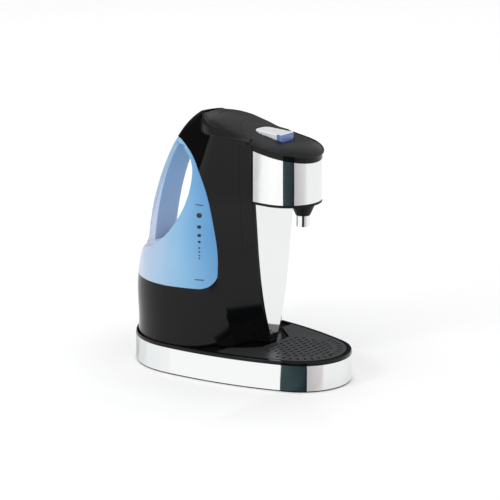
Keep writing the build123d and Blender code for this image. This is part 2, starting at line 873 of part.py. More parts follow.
# Head cover: the front of the top with its tongue, a hole for the button and lugs for both hinges
with BuildPart() as head_cover:
    add(cap_shell.part)
    add(lid_zone(0), mode=Mode.INTERSECT)
    add(tongue_zone(0), mode=Mode.INTERSECT)
    add(below_seam(fit_gap), mode=Mode.SUBTRACT)
    add(
        cross_rod(knuckle_radius + hinge_relief, knuckle_inner - face_gap, far, hinge_y, hinge_z),
        mode=Mode.SUBTRACT,
    )
    add(cross_rod(knuckle_radius, lug_inner, knuckle_inner - 2 * face_gap, hinge_y, hinge_z))
    for side in (1, -1):
        with Locations((side * (lug_inner + knuckle_inner - 2 * face_gap) / 2, hinge_y, hinge_z)):
            Box(knuckle_inner - 2 * face_gap - lug_inner, 2 * knuckle_radius, lug_rise, align=axis_up)
    with BuildSketch(Plane.XY.offset(bridge_top)) as button_hole:
        with Locations((0, button_front[0] - move_gap)):
            Rectangle(
                2 * (button_half + move_gap),
                button_rear[0] - button_front[0] + 2 * move_gap,
                align=(Align.CENTER, Align.MIN),
            )
        fillet(button_hole.vertices().sort_by(Axis.Y)[-2:], button_end_radius + move_gap)
    extrude(amount=far, mode=Mode.SUBTRACT)
    for side in (1, -1):
        with Locations((side * (button_half + move_gap + button_lug / 2), button_pin_y, button_pin_z)):
            Box(button_lug, 4 * button_pin_radius, 4 * button_pin_radius)
    add(
        cross_rod(hinge_pin_radius + pin_clearance, lug_inner - face_gap, knuckle_inner, hinge_y, hinge_z),
        mode=Mode.SUBTRACT,
    )
    with Locations(Plane((0, button_pin_y, button_pin_z), z_dir=(1, 0, 0))):
        Cylinder(
            button_pin_radius + pin_clearance,
            2 * (button_half + move_gap + button_lug + fit_gap),
            mode=Mode.SUBTRACT,
        )
head_cover.part.label = "head_cover"
export_step(head_cover.part, "parts/head_cover.step")

# Lid: the rear of the top, with finger grooves, two hinge knuckles and a rim over the tank's mouth
with BuildPart() as lid_front:
    add(tongue_zone(face_gap))
    add(cross_rod(knuckle_radius, knuckle_inner, far, hinge_y, hinge_z), mode=Mode.SUBTRACT)
with BuildPart() as lid_rim:
    with BuildSketch(Plane.XY.offset(lid_rim_bottom)):
        add(mouth_outline(lid_rim_inset))
        add(mouth_outline(lid_rim_inset + lid_rim_wall), mode=Mode.SUBTRACT)
    extrude(amount=crown_half)
    add(above_crest(-housing_wall / 2), mode=Mode.SUBTRACT)
    add(tongue_zone(seal_width), mode=Mode.SUBTRACT)
with BuildPart() as lid:
    add(cap_shell.part)
    add(lid_zone(0), mode=Mode.INTERSECT)
    add(below_seam(face_gap), mode=Mode.SUBTRACT)
    add(lid_front.part, mode=Mode.SUBTRACT)
    add(lid_rim.part)
    add(cross_rod(knuckle_radius, knuckle_inner, knuckle_outer, hinge_y, hinge_z))
    add(
        cross_rod(
            hinge_pin_radius + pin_clearance,
            knuckle_inner - face_gap,
            knuckle_outer - face_gap,
            hinge_y,
            hinge_z,
        ),
        mode=Mode.SUBTRACT,
    )
    for y, z in groove_spots:
        with Locations(Plane((0, y, z), z_dir=(1, 0, 0))):
            Cylinder(groove_radius, 2 * groove_half, mode=Mode.SUBTRACT)
lid.part.label = "lid"
export_step(lid.part, "parts/lid.step")

# Lid seal under the rim, open where the tongue passes
with BuildPart() as lid_seal:
    with BuildSketch(Plane.XY.offset(tank_top + fit_gap)):
        add(mouth_outline(lid_rim_inset + lid_rim_wall / 2 - seal_width / 2))
        add(mouth_outline(lid_rim_inset + lid_rim_wall / 2 + seal_width / 2), mode=Mode.SUBTRACT)
    extrude(amount=lid_rim_bottom - tank_top - fit_gap)
    add(tongue_zone(seal_width), mode=Mode.SUBTRACT)
lid_seal.part.label = "lid_seal"
export_step(lid_seal.part, "parts/lid_seal.step")

# Lid pins, one through each knuckle
with BuildPart() as lid_pins:
    add(cross_rod(hinge_pin_radius, lug_inner, knuckle_outer - 2 * face_gap, hinge_y, hinge_z))
lid_pins.part.label = "lid_pins"
export_step(lid_pins.part, "parts/lid_pins.step")

# Button paddle: a hollow rocker with a round rear end
button_slope = (button_front[1] - button_rear[1]) / (button_front[0] - button_rear[0])
lens_back = button_front[0] + lens_depth
lens_top = button_rear[1] + button_slope * (lens_back - button_rear[0])
skirt_slope = (button_skirt_rear - button_skirt_front) / (button_rear[0] - button_front[0])
lens_foot = button_skirt_front + skirt_slope * lens_depth
with BuildPart() as button_hollow:
    add(
        side_prism(
            (
                (button_rear[0] - button_wall, button_skirt_front),
                (button_rear[0] - button_wall, button_rear[1] - button_wall),
                (lens_back + button_wall, lens_top - button_wall),
                (lens_back + button_wall, button_skirt_front),
            ),
            button_half - button_wall,
        )
    )
    fillet(
        button_hollow.edges().filter_by(Axis.Z).group_by(Axis.Y)[-1], button_end_radius - button_wall
    )
with BuildPart() as button_paddle:
    add(
        side_prism(
            (
                (button_rear[0], button_skirt_rear),
                button_rear,
                (lens_back, lens_top),
                (lens_back, lens_foot),
            ),
            button_half,
        )
    )
    fillet(button_paddle.edges().filter_by(Axis.Z).group_by(Axis.Y)[-1], button_end_radius)
    top_edges = button_paddle.faces().sort_by(Axis.Z)[-1].edges()
    fillet([edge for edge in top_edges if edge.center().Y > lens_back + button_round], button_round)
    add(button_hollow.part, mode=Mode.SUBTRACT)
    with Locations(Plane((0, button_pin_y, button_pin_z), z_dir=(1, 0, 0))):
        Cylinder(button_pin_radius + pin_clearance, 3 * button_half, mode=Mode.SUBTRACT)
button_paddle.part.label = "button_paddle"
export_step(button_paddle.part, "parts/button_paddle.step")

# Button lens: the coloured front end of the button
with BuildPart() as button_lens:
    add(
        side_prism(
            (
                (lens_back, lens_foot),
                (lens_back, lens_top),
                button_front,
                (button_front[0], button_skirt_front),
            ),
            button_half,
        )
    )
    fillet(button_lens.faces().sort_by(Axis.Y)[0].edges().sort_by(Axis.Z)[1:], button_round)
button_lens.part.label = "button_lens"
export_step(button_lens.part, "parts/button_lens.step")

# Button pin through the paddle and both lugs
with BuildPart() as button_pin:
    with Locations(Plane((0, button_pin_y, button_pin_z), z_dir=(1, 0, 0))):
        Cylinder(button_pin_radius, 2 * (button_half + move_gap + button_lug - fit_gap))
button_pin.part.label = "button_pin"
export_step(button_pin.part, "parts/button_pin.step")

# Switch block on the bridge, its plunger and the lamp that lights the lens
with BuildPart() as switch_block:
    with Locations((0, switch_y, bridge_top)):
        Box(switch_width, switch_depth, switch_height, align=axis_up)
    with Locations((0, switch_y, plunger_foot - plunger_travel - fit_gap)):
        Cylinder(plunger_radius + pin_clearance, switch_height, align=axis_up, mode=Mode.SUBTRACT)
switch_block.part.label = "switch_block"
export_step(switch_block.part, "parts/switch_block.step")
plunger_top = button_rear[1] + button_slope * (switch_y - button_rear[0]) - button_wall - fit_gap
with BuildPart() as switch_plunger:
    with Locations((0, switch_y, plunger_foot)):
        Cylinder(plunger_radius, plunger_top - plunger_foot, align=axis_up)
    fillet(switch_plunger.edges().sort_by(Axis.Z)[-1], plunger_radius / 2)
switch_plunger.part.label = "switch_plunger"
export_step(switch_plunger.part, "parts/switch_plunger.step")
with BuildPart() as indicator_lamp:
    with Locations((lamp_x, switch_y, bridge_top + switch_height)):
        Cylinder(lamp_radius, lamp_height, align=axis_up)
    fillet(indicator_lamp.edges().sort_by(Axis.Z)[-1], lamp_radius / 2)
indicator_lamp.part.label = "indicator_lamp"
export_step(indicator_lamp.part, "parts/indicator_lamp.step")

# Heater plate on the pan's pillars, with the element, thermostat and fuse under it
with BuildPart() as heater_plate:
    with Locations((0, rear_centre, plate_bottom)):
        Cylinder(plate_radius, plate_thickness, align=axis_up)
heater_plate.part.label = "heater_plate"
export_step(heater_plate.part, "parts/heater_plate.step")
element_z = plate_bottom - element_radius - pin_clearance
with BuildPart() as heating_element:
    with Locations(Location((0, rear_centre, element_z), (0, 0, 270 - element_turn / 2))):
        Torus(element_ring, element_radius, major_angle=element_turn)
    for side in (1, -1):
        end_angle = radians(270 + side * (element_turn / 2 - element_pin_radius))
        end_x = element_ring * cos(end_angle)
        end_y = rear_centre + element_ring * sin(end_angle)
        with Locations((end_x, end_y, element_z)):
            Cylinder(
                element_pin_radius, element_pin_length, align=(Align.CENTER, Align.CENTER, Align.MAX)
            )
heating_element.part.label = "heating_element"
export_step(heating_element.part, "parts/heating_element.step")
with BuildPart() as thermostat:
    with Locations((0, rear_centre, plate_bottom - thermostat_height)):
        Cylinder(thermostat_radius, thermostat_height, align=axis_up)
thermostat.part.label = "thermostat"
export_step(thermostat.part, "parts/thermostat.step")
with BuildPart() as thermal_fuse:
    fuse_spot = (0, rear_centre - fuse_offset, plate_bottom - fuse_radius - pin_clearance)
    with Locations(Plane(fuse_spot, z_dir=(1, 0, 0))):
        Cylinder(fuse_radius, fuse_length)
thermal_fuse.part.label = "thermal_fuse"
export_step(thermal_fuse.part, "parts/thermal_fuse.step")

# Boiler pot with a way out for the riser, its seal and its cap
with BuildPart() as boiler_pot:
    with Locations((0, rear_centre, plate_top)):
        Cylinder(plate_radius, pot_height, align=axis_up)
    with Locations((0, rear_centre, plate_top + pot_wall)):
        Cylinder(plate_radius - pot_wall, pot_height, align=axis_up, mode=Mode.SUBTRACT)
    with Locations(Plane((0, rear_centre, riser_start), z_dir=(0, -1, 0))):
        Cylinder(riser_radius + fit_gap / 2, 2 * plate_radius, align=axis_up, mode=Mode.SUBTRACT)
boiler_pot.part.label = "boiler_pot"
export_step(boiler_pot.part, "parts/boiler_pot.step")
with BuildPart() as boiler_seal:
    with BuildSketch(Plane.XY.offset(pot_top)):
        with Locations((0, rear_centre)):
            Circle(plate_radius)
            Circle(plate_radius - boiler_seal_width, mode=Mode.SUBTRACT)
    extrude(amount=boiler_seal_height)
boiler_seal.part.label = "boiler_seal"
export_step(boiler_seal.part, "parts/boiler_seal.step")
with BuildPart() as boiler_cap:
    with BuildSketch(Plane.XY.offset(boiler_cap_bottom)):
        with Locations((0, rear_centre)):
            Circle(boiler_cap_radius)
            Circle(valve_bore, mode=Mode.SUBTRACT)
    extrude(amount=boiler_cap_thickness)
boiler_cap.part.label = "boiler_cap"
export_step(boiler_cap.part, "parts/boiler_cap.step")

# Inlet valve: a grommet through the tank floor, on the boiler cap
with BuildPart() as inlet_valve:
    with Locations((0, rear_centre, boiler_cap_top)):
        Cylinder(valve_collar_radius, tank_bottom - boiler_cap_top, align=axis_up)
        Cylinder(valve_radius, cavity_floor + valve_flange - boiler_cap_top, align=axis_up)
    with Locations((0, rear_centre, cavity_floor)):
        Cylinder(valve_flange_radius, valve_flange, align=axis_up)
    with Locations((0, rear_centre, boiler_cap_top)):
        Cylinder(valve_bore, far, align=axis_up, mode=Mode.SUBTRACT)
inlet_valve.part.label = "inlet_valve"
export_step(inlet_valve.part, "parts/inlet_valve.step")

# Tank filter: a slotted cup over the valve
with BuildPart() as tank_filter:
    with Locations((0, rear_centre, cavity_floor)):
        Cylinder(filter_radius, filter_height, align=axis_up)
        Cylinder(
            filter_radius - filter_wall, filter_height - filter_wall, align=axis_up, mode=Mode.SUBTRACT
        )
    with Locations((0, rear_centre, cavity_floor + filter_height / 2)):
        with PolarLocations(filter_radius, filter_slots):
            Box(3 * filter_wall, filter_slot, filter_height / 2, mode=Mode.SUBTRACT)
tank_filter.part.label = "tank_filter"
export_step(tank_filter.part, "parts/tank_filter.step")

# Riser tube from the boiler up the column and over to the nozzle
with BuildPart() as riser_tube:
    with BuildLine() as riser_path:
        FilletPolyline(
            (0, rear_centre - plate_radius + pot_wall, riser_start),
            (0, riser_y, riser_start),
            (0, riser_y, riser_top),
            (0, nozzle_y, riser_top),
            (0, nozzle_y, riser_end),
            radius=riser_bend,
        )
    with BuildSketch(Plane(riser_path.line @ 0, z_dir=riser_path.line % 0)):
        Circle(riser_radius)
        Circle(riser_bore, mode=Mode.SUBTRACT)
    sweep()
riser_tube.part.label = "riser_tube"
export_step(riser_tube.part, "parts/riser_tube.step")

# Tube clips on the column's inner face
with BuildPart() as tube_clips:
    for z in clip_heights:
        with Locations((0, front_plane + housing_wall + pin_clearance, z)):
            Box(clip_width, clip_depth, clip_height, align=(Align.CENTER, Align.MIN, Align.CENTER))
        with Locations((0, riser_y, z)):
            Cylinder(riser_radius + fit_gap / 2, 2 * clip_height, mode=Mode.SUBTRACT)
tube_clips.part.label = "tube_clips"
export_step(tube_clips.part, "parts/tube_clips.step")

# Terminal block on the pan floor
with BuildPart() as terminal_block:
    with Locations((0, terminal_y, pan_top)):
        Box(*terminal_size, align=axis_up)
    with Locations((0, terminal_y, pan_top + terminal_size[2] / 2)):
        with GridLocations(terminal_size[0] / 3, 0, 3, 1):
            Cylinder(screw_radius, terminal_size[2], align=axis_up, mode=Mode.SUBTRACT)
terminal_block.part.label = "terminal_block"
export_step(terminal_block.part, "parts/terminal_block.step")

# Cord gland in the rear of the band, with a flange inside the pan
pan_inner = base_half - band_wall - fit_gap - pan_wall
with BuildPart() as cord_gland:
    with Locations(Plane((0, base_half - face_gap, gland_height), z_dir=(0, -1, 0))):
        Cylinder(gland_radius, gland_length, align=axis_up)
    with Locations(Plane((0, pan_inner - gland_flange / 2, gland_height), z_dir=(0, -1, 0))):
        Cylinder(gland_flange_radius, gland_flange, align=axis_up)
    with Locations(Plane((0, base_half, gland_height), z_dir=(0, -1, 0))):
        Cylinder(gland_bore, far / 2, align=axis_up, mode=Mode.SUBTRACT)
cord_gland.part.label = "cord_gland"
export_step(cord_gland.part, "parts/cord_gland.step")

# Case screws up through pan, deck and housing foot
with BuildPart() as case_screws:
    with Locations(*[(x, y, foot_lift) for x, y in screw_spots]):
        Cylinder(screw_head_radius, screw_head_height, align=axis_up)
        Cylinder(screw_radius, deck_top + housing_wall - fit_gap - foot_lift, align=axis_up)
case_screws.part.label = "case_screws"
export_step(case_screws.part, "parts/case_screws.step")
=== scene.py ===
"""Looks of a hot water dispenser, laid out as an add-on: finishes, small pieces, light, floor and camera."""
import json
import math

import bpy
import numpy as np
from bpy.props import FloatProperty, FloatVectorProperty, IntProperty, PointerProperty
from mathutils import Matrix, Vector
from mathutils.bvhtree import BVHTree


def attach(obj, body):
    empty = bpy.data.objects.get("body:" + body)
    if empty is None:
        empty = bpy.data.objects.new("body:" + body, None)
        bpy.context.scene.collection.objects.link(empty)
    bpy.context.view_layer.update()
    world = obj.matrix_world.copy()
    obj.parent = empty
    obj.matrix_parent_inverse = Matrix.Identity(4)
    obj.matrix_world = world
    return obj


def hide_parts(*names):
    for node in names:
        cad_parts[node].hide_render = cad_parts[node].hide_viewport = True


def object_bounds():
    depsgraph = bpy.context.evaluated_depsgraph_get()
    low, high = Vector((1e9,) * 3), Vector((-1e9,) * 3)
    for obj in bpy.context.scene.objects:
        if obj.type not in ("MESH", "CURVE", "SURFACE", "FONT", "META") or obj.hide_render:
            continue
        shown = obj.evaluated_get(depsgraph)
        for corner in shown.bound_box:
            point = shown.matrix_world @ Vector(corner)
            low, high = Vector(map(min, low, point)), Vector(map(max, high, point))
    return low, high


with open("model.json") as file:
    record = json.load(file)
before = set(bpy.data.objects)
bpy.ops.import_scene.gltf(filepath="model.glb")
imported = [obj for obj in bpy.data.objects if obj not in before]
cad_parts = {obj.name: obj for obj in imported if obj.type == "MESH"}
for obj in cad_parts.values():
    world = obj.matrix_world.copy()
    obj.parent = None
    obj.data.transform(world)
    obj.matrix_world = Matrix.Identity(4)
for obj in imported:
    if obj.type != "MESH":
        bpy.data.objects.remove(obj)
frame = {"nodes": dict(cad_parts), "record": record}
cad_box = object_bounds()

bl_info = {
    "name": "Hot water dispenser",
    "version": (1, 0, 0),
    "blender": (4, 5, 0),
    "location": "View3D > Sidebar > Dispenser",
    "description": "Finishes and small pieces of a countertop hot water dispenser",
    "category": "Object",
}

MM = 0.001
node_body = {node: body for body, nodes in frame["record"]["behaviour"]["bodies"].items() for node in nodes}
node_slot = {row["node"]: row["material_slot"] for row in frame["record"]["subparts"]}


def linear(code):
    """An sRGB hex colour as linear red, green and blue."""
    parts = np.array([int(code[i : i + 2], 16) for i in (1, 3, 5)]) / 255
    return tuple(np.where(parts <= 0.04045, parts / 12.92, ((parts + 0.055) / 1.055) ** 2.4))


def colour_property(name, description, code):
    """A colour that the panel shows, with its default from a hex code."""
    return FloatVectorProperty(
        name=name, description=description, subtype="COLOR", size=3, min=0, max=1, default=linear(code)
    )


def length_property(name, description, millimetres):
    """A length that the panel shows, given in millimetres and kept in metres."""
    return FloatProperty(name=name, description=description, default=millimetres * MM, unit="LENGTH")


class DispenserColours(bpy.types.PropertyGroup):
    """Colours of the finishes."""

    gloss_black: colour_property("Gloss black", "Polished housing", "#060607")
    matte_black: colour_property("Matte black", "Lid and head cover", "#101112")
    # The tank's colours are one real blue tint in painted shade and light: darker at the front as painted
    # shade, paler at the rear as painted light.
    tank_shaded_blue: colour_property("Tank, deep", "Tinted plastic at the front of the tank", "#5590c4")
    tank_middle: colour_property("Tank, middle", "Tinted plastic halfway back", "#86b4d6")
    tank_lit_pale: colour_property("Tank, pale", "Tinted plastic at the rear of the tank", "#c2cbde")
    mark: colour_property("Level marks", "Printed dots and bars", "#03101a")
    silver: colour_property("Silver", "Metallic paint of the button", "#eceef0")
    lens: colour_property("Lens", "Tinted front of the button", "#6c86c0")
    grid: colour_property("Grid", "Satin drip grid", "#2f3134")
    tray: colour_property("Tray", "Drip tray under the grid", "#08080a")
    floor: colour_property("Floor", "Plain pale floor", "#fdfdfd")


class DispenserSizes(bpy.types.PropertyGroup):
    """Sizes of the small pieces and of the view."""

    smooth_angle: FloatProperty(
        name="Smooth angle",
        description="Faces that meet at less than this angle are shaded as one surface",
        default=math.radians(32),
        subtype="ANGLE",
    )
    mark_lift: length_property("Mark lift", "How far the print stands off the tank", 0.18)
    dot_width: FloatProperty(
        name="Dot width", description="How much wider a dot is than tall in side view", default=1.25, min=0.5
    )
    bar_length: length_property("Bar length", "Length of the bars above and below the dots", 10.0)
    bar_height: length_property("Bar height", "Height of those bars", 0.9)
    dot_sides: IntProperty(name="Dot sides", description="Corners of a printed dot", default=28, min=8)
    bead_radius: length_property("Bead radius", "Radius of the rolled lower edge of lid and cover", 0.7)
    lid_ease: length_property("Lid ease", "How far from its ridge the lid is rounded", 18.0)
    grip_ease: length_property("Grip ease", "How far from its ridges the grip is rounded", 8.0)
    ease_cell: length_property("Ease cell", "Longest edge of the triangles that are rounded", 1.8)
    lid_passes: IntProperty(
        name="Lid passes", description="Rounds of easing on lid and cover", default=110, min=1
    )
    grip_passes: IntProperty(
        name="Grip passes", description="Rounds of easing on the grip", default=26, min=1
    )
    camera_lens: FloatProperty(name="Lens", description="Focal length", default=188.8, unit="CAMERA")
    floor_size: length_property("Floor size", "Side of the floor", 12000.0)


def add(tree, kind, inputs=None, **settings):
    """Adds a node, sets its properties, and sets or links its inputs."""
    node = tree.nodes.new(kind)
    for name, value in settings.items():
        setattr(node, name, value)
    for name, value in (inputs or {}).items():
        if isinstance(value, bpy.types.NodeSocket):
            tree.links.new(value, node.inputs[name])
        else:
            node.inputs[name].default_value = value
    return node


def begin_material(name, **sockets):
    """A material with one Principled shader, whose even values are set on its own sockets."""
    material = bpy.data.materials.new(name)
    material.use_nodes = True
    tree = material.node_tree
    tree.nodes.clear()
    shader = add(tree, "ShaderNodeBsdfPrincipled", sockets)
    add(tree, "ShaderNodeOutputMaterial", {"Surface": shader.outputs["BSDF"]})
    return material, tree, shader


def roughen(tree, shader, low, high, patch_mm, grain_mm, grain_height_mm):
    """Patchy gloss between two roughness values, and a fine moulded or polished grain as bump."""
    place = add(tree, "ShaderNodeTexCoord").outputs["Object"]
    patches = add(
        tree, "ShaderNodeTexNoise", {"Vector": place, "Scale": 1 / (patch_mm * MM), "Detail": 4.0}
    )
    spread = add(
        tree, "ShaderNodeMapRange", {"Value": patches.outputs["Fac"], "To Min": low, "To Max": high}
    )
    tree.links.new(spread.outputs["Result"], shader.inputs["Roughness"])
    grain = add(tree, "ShaderNodeTexNoise", {"Vector": place, "Scale": 1 / (grain_mm * MM), "Detail": 2.0})
    bump = add(
        tree,
        "ShaderNodeBump",
        {"Height": grain.outputs["Fac"], "Distance": grain_height_mm * MM, "Strength": 1.0},
    )
    tree.links.new(bump.outputs["Normal"], shader.inputs["Normal"])


def gloss_abs(colours):
    """Black ABS from a polished mould: deep black with a clear, slightly wavy reflection."""
    base = (*colours.gloss_black, 1)
    material, tree, shader = begin_material(
        "polished_black_abs", **{"Base Color": base, "IOR": 1.5, "Specular IOR Level": 0.23}
    )
    roughen(tree, shader, 0.07, 0.12, patch_mm=25, grain_mm=9, grain_height_mm=0.003)
    return material


def matte_abs(colours):
    """Black ABS from a spark-eroded mould: charcoal, soft highlights and a fine grain."""
    base = (*colours.matte_black, 1)
    material, tree, shader = begin_material(
        "eroded_black_abs", **{"Base Color": base, "IOR": 1.5, "Specular IOR Level": 0.14}
    )
    roughen(tree, shader, 0.36, 0.46, patch_mm=12, grain_mm=0.7, grain_height_mm=0.015)
    return material


chrome_tone = "#eceded"


def chrome_plate(name, low, high):
    """Chrome plate on a moulded or pressed part: mirror-bright with faint ripples."""
    base = (*linear(chrome_tone), 1)
    material, tree, shader = begin_material(name, **{"Base Color": base, "Metallic": 1.0})
    roughen(tree, shader, low, high, patch_mm=30, grain_mm=18, grain_height_mm=0.012)
    return material


# The tank's blue tint with painted shade and light runs along this direction, darker towards the front and
# top and paler towards the rear and bottom, over this span in metres, with its middle colour at this share
tint_and_light_way = (0.0, 1.0, -0.28)
tint_and_light_span = (-0.05, 0.09)
tint_and_light_middle = 0.4
# Soft clouds shift it by up to this share
cloud_mm = 60
cloud_share = 0.12


def tank_plastic(colours):
    """Tinted SAN, frosted inside, with a soft gloss outside: a real blue tint, painted darker towards the
    front as painted shade and paler towards the rear as painted light.
    """
    material, tree, shader = begin_material(
        "tinted_san",
        **{
            "IOR": 1.5,
            "Subsurface Weight": 0.3,
            "Subsurface Radius": (0.06, 0.1, 0.16),
            "Specular IOR Level": 0.12,
        },
    )
    place = add(tree, "ShaderNodeTexCoord").outputs["Object"]
    lean = add(tree, "ShaderNodeVectorMath", {0: place, 1: tint_and_light_way}, operation="DOT_PRODUCT")
    light_share = add(
        tree,
        "ShaderNodeMapRange",
        {
            "Value": lean.outputs["Value"],
            "From Min": tint_and_light_span[0],
            "From Max": tint_and_light_span[1],
            "To Min": 0.0,
            "To Max": 1.0,
        },
    )
    cloud = add(tree, "ShaderNodeTexNoise", {"Vector": place, "Scale": 1 / (cloud_mm * MM), "Detail": 2.0})
    sway = add(
        tree,
        "ShaderNodeMath",
        {0: cloud.outputs["Fac"], 1: cloud_share, 2: light_share.outputs["Result"]},
        operation="MULTIPLY_ADD",
    )
    # The ramp lays painted shade at the front and painted light at the rear over the tank's real blue tint
    tint_and_shade = add(tree, "ShaderNodeValToRGB", {"Fac": sway.outputs["Value"]})
    tint_and_shade.color_ramp.elements[0].color = (*colours.tank_shaded_blue, 1)
    tint_and_shade.color_ramp.elements[1].color = (*colours.tank_lit_pale, 1)
    tint_and_shade.color_ramp.elements.new(tint_and_light_middle).color = (*colours.tank_middle, 1)
    tree.links.new(tint_and_shade.outputs["Color"], shader.inputs["Base Color"])
    roughen(tree, shader, 0.22, 0.3, patch_mm=20, grain_mm=3, grain_height_mm=0.006)
    return material


def silver_paint(colours):
    """Silver metallic paint on a moulded button: bright, a little soft, with fine flakes."""
    base = (*colours.silver, 1)
    material, tree, shader = begin_material(
        "silver_metallic_paint", **{"Base Color": base, "Metallic": 0.12, "Coat Weight": 0.1}
    )
    roughen(tree, shader, 0.26, 0.36, patch_mm=5, grain_mm=0.5, grain_height_mm=0.004)
    return material


def lens_plastic(colours):
    """Tinted polycarbonate: clear blue with a crisp gloss."""
    base = (*colours.lens, 1)
    material, tree, shader = begin_material(
        "tinted_polycarbonate", **{"Base Color": base, "IOR": 1.58, "Subsurface Weight": 0.2}
    )
    roughen(tree, shader, 0.1, 0.18, patch_mm=6, grain_mm=2, grain_height_mm=0.004)
    return material


def grid_plastic(colours):
    """Satin ABS of the drip grid: dark grey with a soft sheen and a light mould grain."""
    base = (*colours.grid, 1)
    material, tree, shader = begin_material(
        "satin_grey_abs", **{"Base Color": base, "IOR": 1.5, "Specular IOR Level": 0.4}
    )
    roughen(tree, shader, 0.28, 0.4, patch_mm=10, grain_mm=0.9, grain_height_mm=0.012)
    return material


def tray_plastic(colours):
    """Black polypropylene of the drip tray: deep black and dull, with a coarse mould grain."""
    base = (*colours.tray, 1)
    material, tree, shader = begin_material(
        "dull_black_polypropylene", **{"Base Color": base, "IOR": 1.49, "Specular IOR Level": 0.2}
    )
    roughen(tree, shader, 0.45, 0.6, patch_mm=15, grain_mm=1.2, grain_height_mm=0.02)
    return material


def print_ink(colours):
    """Screen-printed ink: blue-black, a thin even film with a soft edge of gloss."""
    base = (*colours.mark, 1)
    material, tree, shader = begin_material("screen_print_ink", **{"Base Color": base})
    roughen(tree, shader, 0.35, 0.5, patch_mm=2, grain_mm=0.4, grain_height_mm=0.003)
    return material


def hidden_finish(name, code, metallic, low, high, grain_mm):
    """Finish of an inner piece: its own colour, with a little wear in gloss and grain."""
    base = (*linear(code), 1)
    material, tree, shader = begin_material(name, **{"Base Color": base, "Metallic": metallic})
    roughen(tree, shader, low, high, patch_mm=8, grain_mm=grain_mm, grain_height_mm=0.01)
    return material


# Loose corners closer than this are one
join_distance = 0.002 * MM


def node_arrays(name):
    """Corners and triangles of a CAD node, with its loose corners joined where they meet."""
    mesh = frame["nodes"][name].data
    corners = np.empty(len(mesh.vertices) * 3)
    mesh.vertices.foreach_get("co", corners)
    corners = corners.reshape(-1, 3)
    mesh.calc_loop_triangles()
    faces = np.empty(len(mesh.loop_triangles) * 3, dtype=np.int64)
    mesh.loop_triangles.foreach_get("vertices", faces)
    keys = np.round(corners / join_distance).astype(np.int64)
    _, first, place = np.unique(keys, axis=0, return_index=True, return_inverse=True)
    faces = place.reshape(-1)[faces].reshape(-1, 3)
    whole = (faces[:, 0] != faces[:, 1]) & (faces[:, 1] != faces[:, 2]) & (faces[:, 0] != faces[:, 2])
    return corners[first], faces[whole]


# Sections of the body in millimetres: height, half of the flat front, centre and radius of the sides, radius
# and reach of the rear. The column's front is one flat with a small round at each corner.
body_sections = np.array(
    (
        (33.6, 5.0, 48.0, 79.0, 80.0, 136.8),
        (72.0, 16.5, 45.5, 77.5, 79.0, 135.9),
        (110.0, 25.0, 42.0, 74.0, 77.0, 134.6),
        (160.0, 31.5, 34.0, 66.0, 54.0, 128.0),
        (206.0, 36.0, 26.0, 55.5, 34.0, 117.0),
        (245.0, 37.0, 17.0, 45.5, 27.0, 100.0),
        (278.0, 35.8, 10.0, 38.8, 24.0, 77.0),
        (300.0, 33.0, 3.0, 35.0, 22.0, 46.0),
    )
)
column_front = -41.5
column_corner = 3.0
# The search for the body's normal: directions tried first, rounds of halving after that, points in one go,
# and how far above and below a point its lean is read, in millimetres
turns_tried = 360
halvings = 16
points_at_once = 4000
lean_step = 0.5
# A corner is on the body's skin if it is this near in millimetres and its face looks outward by this much
skin_depth = 5.0
skin_facing = 0.5


def section_at(height):
    """The body's section at each height, on a natural cubic curve through the given ones."""
    level, rows = body_sections[:, 0], body_sections[:, 1:]
    step = np.diff(level)
    count = len(level)
    left = np.eye(count)
    right = np.zeros_like(rows)
    for i in range(1, count - 1):
        left[i, i - 1 : i + 2] = step[i - 1], 2 * (step[i - 1] + step[i]), step[i]
        right[i] = 6 * ((rows[i + 1] - rows[i]) / step[i] - (rows[i] - rows[i - 1]) / step[i - 1])
    bend = np.linalg.solve(left, right)
    k = np.clip(np.searchsorted(level, height) - 1, 0, count - 2)
    a = ((level[k + 1] - height) / step[k])[:, None]
    b = 1 - a
    curve = (a**3 - a) * bend[k] + (b**3 - b) * bend[k + 1]
    return a * rows[k] + b * rows[k + 1] + curve * step[k][:, None] ** 2 / 6


def body_surface(points):
    """How far points stand off the body, and its normal there. The plan is the hull of four circles, so the
    distance is the most that a point passes the hull's support in any direction, and the slope of the support
    gives the lean."""
    coarse = np.linspace(0, 2 * math.pi, turns_tried, endpoint=False)

    def past(spots, section, turn):
        flat, side_y, side, rear, reach = section.T[:, :, None]
        across, ahead = np.cos(turn), np.sin(turn)
        corner = flat * abs(across) + (column_front + column_corner) * ahead + column_corner
        support = np.maximum(np.maximum(corner, side_y * ahead + side), (reach - rear) * ahead + rear)
        return spots[:, :1] * across + spots[:, 1:2] * ahead - support

    gaps, normals = [], []
    for part in np.array_split(points / MM, len(points) // points_at_once + 1):
        section = section_at(part[:, 2])
        turn = coarse[past(part, section, coarse).argmax(axis=1)][:, None]
        width = coarse[1] / 2
        for _ in range(halvings):
            for other in (turn - width, turn + width):
                turn = np.where(past(part, section, other) > past(part, section, turn), other, turn)
            width /= 2
        above = past(part, section_at(part[:, 2] + lean_step), turn)
        below = past(part, section_at(part[:, 2] - lean_step), turn)
        gaps.append(past(part, section, turn)[:, 0])
        normals.append(np.hstack((np.cos(turn), np.sin(turn), (above - below) / (2 * lean_step))))
    normals = np.concatenate(normals)
    return np.concatenate(gaps), normals / np.linalg.norm(normals, axis=1, keepdims=True)


